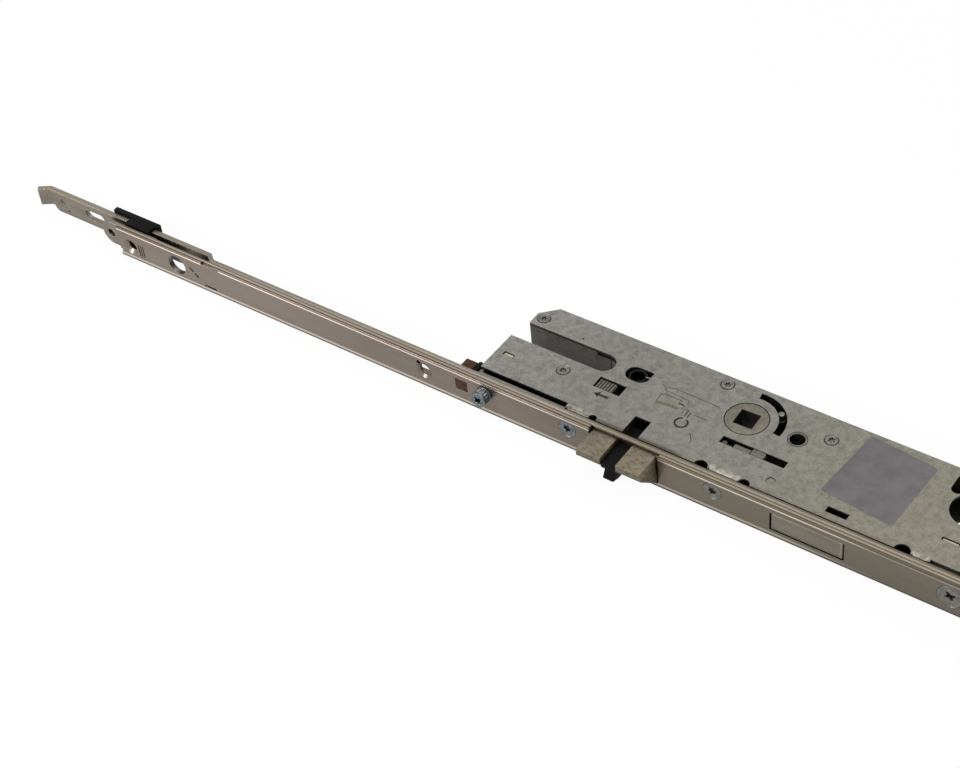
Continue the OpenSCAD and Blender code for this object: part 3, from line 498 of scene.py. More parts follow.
# %% [markdown]
# ## Castings, screws and mouldings
# The bolts, the hub and the sliders are cast, so their tone is cloudier and their skin
# more pitted than the sheet's. The screws are turned and plated: small, smooth and
# bright, with dirt and painted shade in their recesses. The mouldings are dark plastics
# with a weak sheen.

# %% Cast finishes
# in the cast finishes a lighter edge colour is a painted highlight as well as wear
CAST = finish("cast_bolt", (102, 94, 79), (142, 132, 112), (56, 49, 39), metallic=0.55,
              roughness=0.5, patch=0.0018, grain=0.0005, patch_share=0.95, bump=0.00009,
              edge_radius=0.0006, edge_colour=(146, 136, 116), edge_colour_share=0.45, scratch=0.12, speckle=0.5,
              reach=0.0012,
              # painted light: the latch's flank past X -20 mm is painted lighter; below 2.2 mm it
              # is darker
              bands=[({"X": (-20.0, 0, 0.1)}, (1.3, 1.3, 1.25)),
                     ({"Z": (BELOW, 2.2, 2.5)}, (0.72, 0.7, 0.68))])
# painted shade: a near black edge colour outlines the hub and its square hole, and below 7.1 mm it
# is painted nearly black
DIE = finish("die_cast_hub", (104, 99, 87), (126, 121, 108), (76, 71, 62), metallic=0.6,
             roughness=0.46, patch=0.002, grain=0.0005, patch_share=0.9, bump=0.00004,
             edge_radius=0.00025, edge_colour=(44, 41, 36), edge_colour_share=0.95, reach=0.0012,
             bands=[({"Z": (BELOW, 7.1, 0.15)}, (0.1, 0.09, 0.08))])
SLIDER = finish("slider_casting", (92, 90, 79), (126, 124, 111), (54, 52, 45), metallic=0.5,
                roughness=0.5, patch=0.0012, grain=0.0005, patch_share=0.8, bump=0.00005,
                edge_radius=0.0002, edge_colour=(150, 148, 134), edge_colour_share=0.6, reach=0.001, dirt_and_shade=0.95)
# painted highlight along the upper edge and near the lower end, painted shade along the lower edge
# and at both ends
BOLT_END = finish("bolt_end", (110, 106, 94), (130, 126, 112), (90, 86, 76), metallic=0.75,
                  roughness=0.4, patch=0.004, grain=0.0005, stretch=(0.3, 1, 1), patch_share=0.8,
                  bump=0.00002, edge_radius=0.0005, edge_colour=(178, 174, 156), edge_colour_share=0.75, scratch=0.2,
                  dirt_and_shade=0.95, reach=0.0008,
                  bands=[({"Z": (3.7, 5, 0.15)}, (1.55, 1.55, 1.5)),
                         ({"Z": (-5, -3.8, 0.2)}, (0.6, 0.6, 0.58)),
                         ({"X": (58.7, 60, 0.2)}, (0.55, 0.55, 0.53)),
                         ({"X": (57.9, 58.5, 0.15)}, (1.4, 1.4, 1.36)),
                         ({"X": (29, 30.1, 0.2)}, (0.7, 0.7, 0.68))])
print("cast:", ", ".join(cast.name for cast in (CAST, DIE, SLIDER, BOLT_END)))

# %% Plated and moulded finishes
# in these finishes a lighter edge colour is a painted highlight as well as wear
PLATED = finish("blue_zinc", (92, 98, 101), (146, 154, 158), (40, 44, 47), metallic=0.9,
                roughness=0.3, patch=0.0012, grain=0.0004, patch_share=0.9, bump=0.00003,
                edge_radius=0.0003, edge_colour=(186, 192, 195), edge_colour_share=0.6, dirt_and_shade=0.98, reach=0.0014,
                speckle=0.4)
DULL_STEEL = finish("dull_steel", (110, 108, 103), (142, 140, 134), (70, 68, 64), metallic=0.8,
                    roughness=0.38, patch=0.002, grain=0.0004, patch_share=0.8, bump=0.00002,
                    edge_radius=0.0002, edge_colour=(160, 158, 152), edge_colour_share=0.45, dirt_and_shade=0.98, reach=0.0014)
# painted shade: a near black edge colour outlines the sleeve in its gap, and below 7.1 mm it is
# painted nearly black
SLEEVE = finish("sleeve_steel", (106, 104, 100), (138, 136, 130), (70, 68, 64), metallic=0.8,
                roughness=0.42, patch=0.002, dirt_and_shade=0.98, reach=0.001, edge_radius=0.0003,
                edge_colour=(36, 34, 32), edge_colour_share=0.95,
                bands=[({"Z": (BELOW, 7.1, 0.15)}, (0.12, 0.12, 0.12))])
BUSH = finish("greased_bush", (16, 15, 15), (34, 33, 32), (8, 8, 8), metallic=0.3, roughness=0.4,
              grain=0.0004, edge_radius=0.0001, edge_colour=(72, 70, 67), edge_colour_share=0.7, dirt_and_shade=0.7,
              reach=0.0006, specular=0.1)
LUG = finish("taupe_lug", (134, 126, 118), (160, 152, 143), (100, 92, 86), metallic=0.85,
             roughness=0.36, patch=0.004, bump=0.00002, edge_radius=0.0004, edge_colour=(205, 198, 188),
             edge_colour_share=0.6)
BLACK = finish("black_moulding", (10, 10, 10), (18, 18, 17), (5, 5, 5), metallic=0.0,
               roughness=0.55, grain=0.0004, bump=0.00003, edge_radius=0.0003, edge_colour=(26, 26, 25),
               edge_colour_share=0.4, specular=0.08)
BROWN = finish("brown_moulding", (64, 42, 30), (86, 58, 42), (40, 26, 19), metallic=0.0,
               roughness=0.5, grain=0.0005, bump=0.00004, edge_radius=0.0004, edge_colour=(98, 68, 50),
               edge_colour_share=0.5, specular=0.12, reach=0.0014, dirt_and_shade=0.95)
WIRE = finish("spring_wire", (78, 77, 75), (104, 103, 100), (44, 43, 42), metallic=0.95,
              roughness=0.3, patch=0.001, bump=0.00001, edge_radius=0.0001)
print("plated and moulded:", ", ".join(skin.name for skin in (
    PLATED, DULL_STEEL, SLEEVE, BUSH, LUG, BLACK, BROWN, WIRE)))

# %% Which finish goes where
by_slot = {"faceplate": CHAMPAGNE, "rail": STRIP, "case": SHEET, "bolt": CAST, "steel": PLATED,
           "lug": LUG, "black": BLACK, "brown": BROWN, "spring": WIRE}
by_node = {"channel_liner": INNER, "case_walls": SHEET, "case_cover": COVER, "follower": DIE,
           "deadbolt": BOLT_END, "reversing_slider": SLIDER, "snib_slider": SLIDER,
           "follower_pin": DULL_STEEL, "cover_screws": DULL_STEEL, "screw_sleeves": SLEEVE,
           "snib_peg": INNER, "case_posts": DULL_STEEL, "locating_tabs": TAB_TOP,
           "drive_plate": DEEP, "reversing_base": DEEP, "snib_base": DEEP,
           "deadbolt_guides": DEEP, "case_base": BASE}
print("finishes", len(by_slot), "by slot and", len(by_node), "by node")

# %% [markdown]
# ## Dressing the solids
# Most solids have the right shape already, so each only gets its finish. Its mesh is
# never touched: the material goes into the slot that the object already has.

# %% Give every node its finish
slot_with = {row["node"]: row["material_slot"] for row in frame["record"]["subparts"]}
body_with = {node: body for body, nodes in frame["record"]["behaviour"]["bodies"].items()
             for node in nodes}


def finish_for(node):
    return by_node.get(node, by_slot[slot_with[node]])


for node, solid in frame["nodes"].items():
    solid.data.materials.clear()
    solid.data.materials.append(finish_for(node))
print("dressed", len(slot_with), "nodes")

# %% [markdown]
# ## Broken edges
# No real edge is razor sharp, and the thin bright lines in the photograph are light
# caught on edges a few tenths of a millimetre round. The Bevel shader node alone would
# catch that light, but the outline would stay sharp. So a piece whose edges show gets a
# copy of its solid: doubled points are merged, flat faces are joined, every sharp edge
# is rounded by a Bevel modifier, and the result is baked into a plain mesh.

# %% Helpers for new pieces
SHARP = math.radians(30)  # an edge that turns more than this is rounded
CREASE = math.radians(32)  # and one that still turns more than this is shaded as a crease


def new_piece(name, mesh):
    """An object of the scene that shows a mesh."""
    obj = bpy.data.objects.new(name, mesh)
    bpy.context.scene.collection.objects.link(obj)
    return obj


def mesh_from(name, form):
    """A mesh from a bmesh, which is freed."""
    mesh = bpy.data.meshes.new(name)
    form.to_mesh(mesh)
    form.free()
    return mesh


def bake(obj):
    """Puts what the modifiers make of a piece into its mesh and takes the modifiers away."""
    bpy.context.view_layer.update()
    made = obj.evaluated_get(bpy.context.evaluated_depsgraph_get())
    mesh = bpy.data.meshes.new_from_object(made)
    obj.modifiers.clear()
    obj.data = mesh


def round_off(obj, width, segments):
    """Rounds the sharp edges of a piece with a Bevel modifier and bakes it."""
    rounding = obj.modifiers.new("round", "BEVEL")
    rounding.width, rounding.segments = width, segments
    rounding.limit_method, rounding.angle_limit = "ANGLE", SHARP
    bake(obj)


def smooth_over(mesh):
    """Shades the faces smooth, but for the creases."""
    mesh.polygons.foreach_set("use_smooth", [True] * len(mesh.polygons))
    mesh.set_sharp_from_angle(angle=CREASE)


def hand_over(obj, body, replaced=()):
    """A finished piece rides on a body and may stand for nodes, which it hides."""
    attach(obj, body)
    if replaced:
        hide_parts(*replaced)


print("piece helpers ready")

# %% Round the edges of copies
WELD = 2e-6  # metres: points closer than this are one
FLAT = math.radians(0.8)  # faces that meet at less than this are joined
WALL_FROM, WALL_MORE = 10.2, 1.5  # mm: what lies further in than the first moves in by the second
edge_width = {"latch_bolt": 0.0007, "latch_trigger": 0.0004, "deadbolt": 0.0006,
              "upper_guide_clip": 0.0004, "lower_guide_clip": 0.0004, "centre_clip": 0.0006,
              "clip_finger": 0.0003, "follower": 0.0002, "upper_end_lug": 0.00035,
              "lower_end_lug": 0.00035, "drive_rail": 0.0003, "locating_tabs": 0.0002,
              "follower_pin": 0.00025}


def broken_edges(node, width):
    """A rounded copy of a node that stands for it. A guide clip's back wall gets thicker,
    and the latch bolt, with the widest round, gets one segment more."""
    form = bmesh.new()
    form.from_mesh(frame["nodes"][node].data)
    bmesh.ops.remove_doubles(form, verts=form.verts, dist=WELD)
    bmesh.ops.dissolve_limit(form, angle_limit=FLAT, verts=form.verts, edges=form.edges)
    for point in form.verts if node.endswith("guide_clip") else ():
        if point.co.y > at(0, WALL_FROM, 0).y:
            point.co.y += WALL_MORE / 1000
    obj = new_piece(node + "_rounded", mesh_from(node, form))
    obj.data.materials.append(finish_for(node))
    round_off(obj, width, 3 if node == "latch_bolt" else 2)
    smooth_over(obj.data)
    hand_over(obj, body_with[node], [node])


for node, width in edge_width.items():
    broken_edges(node, width)
print("rounded", len(edge_width), "pieces")

# %% [markdown]
# ## Turned parts
# A screw head is a turned form: a row of rings up its axis. Where a ring's radius waves
# with the angle, the turned form gets ribs or the lobes of a driver recess, so one
# function makes plain heads, ribbed heads and recesses alike. The Spin and Screw tools
# would turn a plain profile too, but not one whose rings change from round to lobed.

# %% A turned form


def turned(name, rings, sides=48, tube=False):
    """A closed form along Z. Each ring is (radius, height) in mm, and a ring whose radius
    waves has the depth of a wave and the number of waves as well."""
    form = bmesh.new()
    loops = []
    for radius, height, *wave in rings:
        depth, waves = wave or (0, 0)
        points = []
        for i in range(sides):
            angle = math.tau * i / sides
            r = (radius + depth * math.cos(waves * angle)) / 1000
            points.append(form.verts.new((r * math.cos(angle), r * math.sin(angle), height / 1000)))
        loops.append(points)
    for low, high in zip(loops, loops[1:] + (loops[:1] if tube else [])):
        for i in range(sides):
            j = (i + 1) % sides
            form.faces.new((low[i], low[j], high[j], high[i]))
    if not tube:
        form.faces.new(list(reversed(loops[0])))
        form.faces.new(loops[-1])
    bmesh.ops.recalc_face_normals(form, faces=form.faces)
    mesh = mesh_from(name, form)
    smooth_over(mesh)
    return bpy.data.objects.new(name, mesh)


cover_screw = turned("cover_screw_pattern", [
    (1.35, -7.4), (1.35, -1.45), (2.42, -0.24), (2.55, -0.1), (2.48, 0.0), (2.05, 0.02),
    (1.93, -0.08), (1.68, -0.08), (1.28, -0.05, 0.28, 6), (1.14, -0.2, 0.28, 6),
    (1.05, -0.8, 0.24, 6), (0.35, -1.0, 0.05, 6)])
face_screw = turned("face_screw_pattern", [
    (1.95, -8.9), (1.95, -2.0), (3.75, -0.25), (3.9, -0.08), (3.8, 0.0), (3.35, 0.0),
    (3.2, -0.12), (2.75, -0.12), (2.6, -0.02), (2.2, -0.02), (1.75, -0.06, 0.33, 6),
    (1.6, -0.25, 0.33, 6), (1.5, -1.3, 0.3, 6), (0.5, -1.5, 0.05, 6)])
print("turned", cover_screw.name, len(cover_screw.data.polygons), "faces")

# %% [markdown]
# ## Setting out what repeats
# The same screw sits in many holes. An Array modifier needs even spacing, which these
# holes don't have. So a Geometry Nodes tree takes the places as points, puts a copy of
# the pattern on each, and turns each copy on its own axis by a different amount, because
# no fitter leaves every recess pointing the same way. The seed is fixed, so the result
# is the same on every run.

# %% Tree: set out on points


def build_set_out():
    tree, start, end = new_group("set out on points", [
        ("Places", "NodeSocketGeometry", None), ("Pattern", "NodeSocketObject", None),
        ("Lean", "NodeSocketVector", (0.0, 0.0, 0.0)), ("Most turn", "NodeSocketFloat", 1.05),
        ("Seed", "NodeSocketInt", 3), ("Finish", "NodeSocketMaterial", None)],
        [("Geometry", "NodeSocketGeometry")], "GeometryNodeTree")
    pattern = add(tree, "GeometryNodeObjectInfo", {"Object": start.outputs["Pattern"]})
    amount = add(tree, "FunctionNodeRandomValue", {
        2: 0.0, 3: start.outputs["Most turn"], 8: start.outputs["Seed"]}, data_type="FLOAT")
    spin = add(tree, "ShaderNodeCombineXYZ", {"Z": amount.outputs[1]})
    spin = add(tree, "FunctionNodeEulerToRotation", {0: spin.outputs[0]})
    lean = add(tree, "FunctionNodeEulerToRotation", {0: start.outputs["Lean"]})
    both = add(tree, "FunctionNodeRotateRotation", {0: lean.outputs[0], 1: spin.outputs[0]},
               rotation_space="LOCAL")
    copies = add(tree, "GeometryNodeInstanceOnPoints", {
        "Points": start.outputs["Places"], "Instance": pattern.outputs["Geometry"],
        "Rotation": both.outputs[0]})
    real = add(tree, "GeometryNodeRealizeInstances", {0: copies.outputs[0]})
    dressed = add(tree, "GeometryNodeSetMaterial", {"Geometry": real.outputs[0],
                                                    "Material": start.outputs["Finish"]})
    tree.links.new(dressed.outputs[0], end.inputs[0])
    return tree


SET_OUT = build_set_out()


def socket_key(tree, title):
    """A modifier input is set by the identifier of its socket, not by its title."""
    return next(item.identifier for item in tree.interface.items_tree
                if item.name == title and item.in_out == "INPUT")


def grow(name, tree, points, body, slot, material, replaced=(), **inputs):
    """Runs a tree on a mesh of loose points and bakes what it makes into one piece."""
    mesh = bpy.data.meshes.new(name)
    mesh.from_pydata([tuple(p) for p in points], [], [])
    obj = new_piece(name, mesh)
    making = obj.modifiers.new("making", "NODES")
    making.node_group = tree
    for title, value in dict(inputs, Finish=material).items():
        making[socket_key(tree, title.replace("_", " "))] = value
    obj.update_tag()
    bake(obj)
    smooth_over(obj.data)
    hand_over(obj, body, replaced)
    return obj


print("tree", SET_OUT.name, "has", len(SET_OUT.nodes), "nodes")

# %% Screws of the cover and the faceplate
COVER_TOP = 7.5  # mm, the upper skin of the case
FACE_LINE = 2.6  # mm, how high the faceplate's screws sit
SUNK = 0.02  # mm, how far a faceplate screw's rim lies below the front
OUTWARDS = (math.pi / 2, 0.0, 0.0)  # lays a pattern's +Z towards the front
cover_places = [at(x, y, COVER_TOP) for x, y in (
    (-98.6, 44.2), (-75.1, 22.7), (-15.7, 47.8), (32.4, 41.2), (125.0, 45.0), (126.0, 18.0))]
grow("cover_screw_set", SET_OUT, cover_places, "case", "steel", DULL_STEEL, ["cover_screws"],
     Pattern=cover_screw, Seed=5)
grow("upper_face_screw", SET_OUT, [at(-58.6, SUNK, FACE_LINE)], "case", "steel", PLATED,
     Pattern=face_screw, Lean=OUTWARDS, Seed=2)
face_places = [at(x, SUNK, FACE_LINE) for x in (5.4, 124.0)]
grow("face_screw_set", SET_OUT, face_places, "case", "steel", DULL_STEEL, ["faceplate_screws"],
     Pattern=face_screw, Lean=OUTWARDS, Seed=2)
print("screws set out", len(cover_places) + 1 + len(face_places))

# %% The proud screw and the cylinder screw
proud_screw = turned("proud_screw_pattern", [
    (1.95, -8.9), (1.95, -0.05), (3.2, 0.02), (3.4, 0.2), (3.4, 0.55), (3.0, 0.7), (3.0, 1.0),
    (3.25, 1.15, 0.16, 16), (3.3, 3.1, 0.16, 16), (3.2, 3.25, 0.05, 16), (3.45, 3.4),
    (3.5, 3.6), (3.5, 4.5), (3.3, 4.8), (3.0, 4.86), (2.2, 4.8), (1.6, 4.75, 0.42, 4),
    (1.5, 4.5, 0.42, 4), (1.2, 2.8, 0.3, 4), (0.4, 2.6)], 96)
grow("proud_screw_set", SET_OUT, [at(-97.5, 0.0, FACE_LINE)], "case", "steel", PLATED,
     ["transport_screw"], Pattern=proud_screw, Lean=OUTWARDS, Seed=4)
long_screw = turned("cylinder_screw_pattern", [
    (2.42, -28.8), (2.42, -2.5), (4.75, -0.3), (4.9, -0.1), (4.8, 0.0), (4.2, 0.0),
    (4.0, -0.14), (3.4, -0.14), (3.2, 0.0), (2.6, -0.02), (1.9, -0.08, 0.6, 4),
    (1.75, -0.3, 0.6, 4), (1.35, -1.8, 0.4, 4), (0.5, -2.2)], 64)
grow("cylinder_screw_set", SET_OUT, [at(100.2, SUNK, 0.7)], "case", "steel", DULL_STEEL,
     ["cylinder_screw"], Pattern=long_screw, Lean=OUTWARDS, Seed=9)
print("single screws turned")

# %% [markdown]
# ## Painted shade in the round seams
# Where a round part comes up through the cover, the thin gap round it lies in shade,
# and that shade is painted as a dark ring, which draws its outline more clearly than a
# shadow would. A dark band in the cover's finish would have square sides, so the painted
# shade is a small tube of its own, and the tree that sets out the screws puts it in its place.

# %% A dark ring of painted shade in the round seams
# painted shade: a near black ring laid in the gap round the hub and the sleeve
GAP_SHADE = finish("painted_gap_shade", (30, 28, 25), (44, 41, 36), (16, 15, 13), metallic=0.0,
                roughness=0.6, grain=0.0005, specular=0.1)
SHADE_RING_DEPTH, SHADE_RING_PROUD = 0.4, 0.012  # mm below its own top, and of that top over the cover


def seam(name, x, radius, width):
    """A dark ring of painted shade round a part x mm down the door, in line with the spindle."""
    inner, outer = radius - width / 2, radius + width / 2
    pattern = turned(name + "_pattern", [(inner, -SHADE_RING_DEPTH), (outer, -SHADE_RING_DEPTH),
                                         (outer, 0.0), (inner, 0.0)], 72, tube=True)
    grow(name, SET_OUT, [at(x, BACKSET, COVER_TOP + SHADE_RING_PROUD)], "case", "black", GAP_SHADE,
         Pattern=pattern, Most_turn=0.0)


seam("hub_seam", 0.0, 8.6, 0.34)
seam("sleeve_seam", 21.5, 3.82, 0.26)
print("painted shade rings laid")

# %% [markdown]
# ## Wound springs
# A spring is a wire carried along a spiral. The Screw modifier could wind one from a
# small circle, but a tree names every size: it makes the spiral from its radius, turns
# and length, gives it a round section, lays it along Y and moves it to its seat.

# %% Tree: wound spring


def build_spring():
    tree, start, end = new_group("wound spring", [
        ("Places", "NodeSocketGeometry", None), ("Coil radius", "NodeSocketFloat", 0.002),
        ("Wire radius", "NodeSocketFloat", 0.0002), ("Turns", "NodeSocketFloat", 6.0),
        ("Length", "NodeSocketFloat", 0.01), ("Lean", "NodeSocketVector", (0.0, 0.0, 0.0)),
        ("Finish", "NodeSocketMaterial", None)],
        [("Geometry", "NodeSocketGeometry")], "GeometryNodeTree")
    coil_radius = start.outputs["Coil radius"]
    path = add(tree, "GeometryNodeCurveSpiral", {
        "Resolution": 20, "Rotations": start.outputs["Turns"], "Start Radius": coil_radius,
        "End Radius": coil_radius, "Height": start.outputs["Length"]})
    ring = add(tree, "GeometryNodeCurvePrimitiveCircle", {
        "Resolution": 10, "Radius": start.outputs["Wire radius"]})
    wire = add(tree, "GeometryNodeCurveToMesh", {
        "Curve": path.outputs[0], "Profile Curve": ring.outputs[0], "Fill Caps": True})
    lean = add(tree, "FunctionNodeEulerToRotation", {0: start.outputs["Lean"]})
    copies = add(tree, "GeometryNodeInstanceOnPoints", {
        "Points": start.outputs["Places"], "Instance": wire.outputs[0],
        "Rotation": lean.outputs[0]})
    real = add(tree, "GeometryNodeRealizeInstances", {0: copies.outputs[0]})
    dressed = add(tree, "GeometryNodeSetMaterial", {"Geometry": real.outputs[0],
                                                    "Material": start.outputs["Finish"]})
    tree.links.new(dressed.outputs[0], end.inputs[0])
    return tree


WOUND = build_spring()
INWARDS = (-math.pi / 2, 0.0, 0.0)  # lays a spring's length away from the front
latch_coil = grow("latch_coil", WOUND, [at(-27.2, 25.45, 0)], "case", "spring", WIRE,
                  ["latch_spring"], Coil_radius=0.0023, Wire_radius=0.00025, Turns=6.0,
                  Length=0.0125, Lean=INWARDS)
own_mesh(latch_coil)
trigger_coil = grow("trigger_coil", WOUND, [at(-34.2, 13.72, -1)], "latch", "spring", WIRE,
                    ["trigger_spring"], Coil_radius=0.002, Wire_radius=0.00022, Turns=5.0,
                    Length=0.00806, Lean=INWARDS)
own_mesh(trigger_coil)
print("springs wound", len(latch_coil.data.polygons) + len(trigger_coil.data.polygons), "faces")

# %% [markdown]
# ## Small parts in the cover's windows
# The windows show parts of the mechanism: the ribbed slider that turns the latch over,
# the snib with its flat bar, and a greased bush with fine ridges. The first two could be
# scaled cubes joined by hand. Outlines raised along Z keep every size in view, and their
# edges are rounded afterwards. The bush is turned.

# %% Raised outlines


def raised(form, outline, z0, z1):
    """Adds a closed prism to a bmesh: an outline in face coordinates (mm) between two heights."""
    low = [form.verts.new(at(x, y, z0)) for x, y in outline]
    high = [form.verts.new(at(x, y, z1)) for x, y in outline]
    form.faces.new(list(reversed(low)))
    form.faces.new(high)
    for i in range(len(low)):
        j = (i + 1) % len(low)
        form.faces.new((low[i], low[j], high[j], high[i]))


def arc(x, y, r, a0, a1, steps=20):
    """Points along an arc about (x, y), in mm, between two angles in degrees."""
    angles = (math.radians(a0 + (a1 - a0) * k / steps) for k in range(steps + 1))
    return [(x + r * math.cos(a), y + r * math.sin(a)) for a in angles]


def rounded_box(x0, x1, y0, y1, r):
    """The outline of a rectangle with round corners, anticlockwise."""
    corners = ((x1 - r, y0 + r, -90), (x1 - r, y1 - r, 0),
               (x0 + r, y1 - r, 90), (x0 + r, y0 + r, 180))
    return [point for x, y, a in corners for point in arc(x, y, r, a, a + 90, 5)]


def from_outlines(name, prisms, width, material, body, replaced=()):
    """One piece of several prisms, each (outline, z0, z1) in mm. The width of its rounded
    edges is in metres, and 0 leaves them sharp."""
    form = bmesh.new()
    for outline, z0, z1 in prisms:
        raised(form, outline, z0, z1)
    bmesh.ops.recalc_face_normals(form, faces=form.faces)
    obj = new_piece(name, mesh_from(name, form))
    obj.data.materials.append(material)
    if width:
        round_off(obj, width, 2)
    smooth_over(obj.data)
    hand_over(obj, body, replaced)


print("outline helpers ready")

# %% The slider, the snib and a bush
RIB_PITCH, RIB_THICKNESS = 1.25, 0.65  # mm
rib_starts = [-59.5 + RIB_PITCH * i for i in range(6)]
ribs = [(rounded_box(x, x + RIB_THICKNESS, 21.6, 26.4, 0.2), 6.55, 7.05) for x in rib_starts]
from_outlines("latch_turner", [
    (rounded_box(-62.9, -52.5, 20.0, 27.4, 0.5), 4.1, 5.7),
    (rounded_box(-60.0, -52.3, 21.3, 26.7, 0.5), 5.6, 6.6)] + ribs,
    0.00012, SLIDER, "reversing", ["reversing_slider"])
from_outlines("snib_block", [
    (rounded_box(9.2, 15.5, 17.7, 24.0, 0.4), 1.8, 5.7),
    (rounded_box(10.0, 15.5, 19.55, 22.75, 0.8), 5.6, 7.4),
    (rounded_box(10.9, 14.6, 20.3, 22.0, 0.5), 7.35, 7.46),
    (rounded_box(2.7, 9.55, 19.7, 21.8, 0.3), 6.25, 7.0),
    (rounded_box(9.2, 10.6, 20.3, 21.4, 0.2), 6.0, 6.5)],
    0.00015, SLIDER, "snib", ["snib_slider"])
bush_profile = [(2.95, -0.5), (3.88, -0.5), (3.88, 0.0)]
for i in range(3):  # three fine ridges, each 0.28 mm further in
    bush_profile += [(3.8 - 0.28 * i, 0.12), (3.68 - 0.28 * i, 0.0)]
bush_pattern = turned("upper_bush_pattern", bush_profile + [(2.95, 0.1)], 64, tube=True)
grow("upper_bush", SET_OUT, [at(-48.4, 35, 6.62)], "case", "black", BUSH, Pattern=bush_pattern,
     Most_turn=0.0)
print("window parts made")

# %% [markdown]
# ## Print and film on the cover
# The cover carries a thin film with cut corners and a few printed strokes, which draw a
# bolt and a ring. An image would have to be unwrapped onto the cover and would blur up
# close, so each is a real sheet a few hundredths of a millimetre thick, which catches
# light at its rim. The arrow's paint fills its pressing.

# %% Inks and film


def ink(name, shade, patchy):
    """A matt ink that shows some of the sheet through where it is patchy, from 0 to 1."""
    material, tree, shader = new_material(name)
    broken = ramp(tree, noise(tree, on_piece(tree), 1400.0, 4.0), 0.42, 0.66)
    share = math_node(tree, "MULTIPLY", broken, patchy)
    paint = blend_colour(tree, share, shade, colour(112, 110, 105))
    tree.links.new(paint, shader.inputs["Base Color"])
    shader.inputs["Roughness"].default_value = 0.6
    shader.inputs["Specular IOR Level"].default_value = 0.1
    return material


def film_finish():
    """A film with a soft shine, faintly clouded, waved and painted paler at its rim, a painted
    highlight.
    """
    material, tree, shader = new_material("blank_film")
    where = on_piece(tree)
    cloud = ramp(tree, noise(tree, where, 130.0, 5.0, Roughness=0.6), 0.3, 0.7)
    paint = blend_colour(tree, cloud, colour(84, 82, 83), colour(98, 95, 96))
    edge = add(tree, "ShaderNodeGroup", {"Radius": 0.0004}, node_tree=EDGE_WEAR_AND_HIGHLIGHT)
    # painted highlight: the film's rim is painted paler
    rim = math_node(tree, "MULTIPLY", edge.outputs["Mask"], 0.5)
    paint = blend_colour(tree, rim, paint, colour(140, 137, 139))
    height = add(tree, "ShaderNodeBump", {"Strength": 1.0, "Distance": 0.00012,
                                          "Height": noise(tree, where, 60.0)})
    tree.links.new(paint, shader.inputs["Base Color"])
    tree.links.new(height.outputs[0], shader.inputs["Normal"])
    shader.inputs["Roughness"].default_value = 0.28
    shader.inputs["Metallic"].default_value = 0.35
    return material


INK = ink("dark_ink", colour(34, 32, 30), 0.3)
FAINT_INK = ink("faint_ink", colour(32, 30, 28), 0.22)
TAN_INK = ink("tan_ink", colour(98, 94, 78), 0.5)
FILM = film_finish()
print("inks and film:", ", ".join(layer.name for layer in (INK, FAINT_INK, TAN_INK, FILM)))

# %% The blank film
FOOT = COVER_TOP + 0.002  # mm: what is printed or stuck on starts just clear of the cover
FILM_TOP = COVER_TOP + 0.06
film_outline = [(44.0, 50.6), (40.9, 17.4), (41.6, 16.6), (70.2, 13.7), (71.0, 14.4),
                (72.5, 46.8), (71.8, 47.6)]
from_outlines("cover_film", [(film_outline, FOOT, FILM_TOP)], 0, FILM, "case")
print("film laid with", len(film_outline), "corners")

# %% Strokes and the arrow
INK_TOP, PAINT_TOP = COVER_TOP + 0.02, COVER_TOP + 0.015  # mm
ARROW_FLOOR = COVER_TOP - 0.23  # mm, just over the floor of the arrow's pressing


def stroke_outline(points, width):
    """The outline of a line of constant width through points, in mm."""
    left, right = [], []
    for i, (x, y) in enumerate(points):
        x0, y0 = points[max(i - 1, 0)]
        x1, y1 = points[min(i + 1, len(points) - 1)]
        size = math.hypot(x1 - x0, y1 - y0)
        nx, ny = -(y1 - y0) / size * width / 2, (x1 - x0) / size * width / 2
        left.append((x + nx, y + ny))
        right.append((x - nx, y - ny))
    return right + list(reversed(left))


# the bush's steel finger is a short stroke too, only thicker
finger = stroke_outline([(-45.4, 35.9), (-43.2, 36.3)], 0.6)
from_outlines("bush_finger", [(finger, 6.05, 6.95)], 0.0001, DULL_STEEL, "case")
FINE = 0.24  # mm, the width of the drawing's long lines
strokes = [
    (arc(-20.3, 20.8, 2.5, 105, 425, 36), 0.8),
    ([(-37.4, 35.6), (-35.2, 34.1)], 0.18),
    ([(-34.9, 33.9), (-34.2, 34.9), (-31.5, 35.6), (-21.5, 35.4), (-11.8, 35.2)], FINE),
    ([(-34.9, 33.9), (-34.6, 33.0), (-32.9, 33.0), (-26.1, 32.6), (-23.6, 32.4)], FINE),
    ([(-34.6, 25.6), (-34.9, 30.6), (-34.0, 31.0), (-30.6, 31.2), (-25.6, 31.0)], FINE),
    ([(-26.6, 29.5), (-23.8, 29.2)], 0.6), (arc(-23.1, 32.1, 0.7, 0, 350), 0.16),
    ([(-21.0, 24.2), (-21.2, 28.0)], 0.42), ([(-19.8, 24.0), (-19.7, 26.9)], 0.42),
    ([(-18.2, 26.8), (-12.9, 26.7)], 0.22), ([(-22.6, 25.0), (-22.9, 27.6), (-21.2, 28.0)], 0.18),
    ([(-14.6, 17.6), (-12.6, 15.2), (-11.8, 13.6)], 0.25)]
from_outlines("printed_drawing", [(stroke_outline(p, w), FOOT, INK_TOP) for p, w in strokes],
              0, FAINT_INK, "case")
patch = stroke_outline([(-34.2, 25.7), (-29.6, 26.6), (-25.2, 26.6)], 1.5)
from_outlines("tan_patch", [(patch, FOOT, PAINT_TOP)], 0, TAN_INK, "case")
arrow = [(-55.4, 16.5), (-55.4, 17.4), (-51.3, 17.4), (-51.3, 18.6), (-55.4, 18.6),
         (-55.4, 19.5), (-57.8, 18.0)]
from_outlines("arrow_paint", [(arrow, ARROW_FLOOR, PAINT_TOP)], 0, INK, "case")
print("strokes", len(strokes))

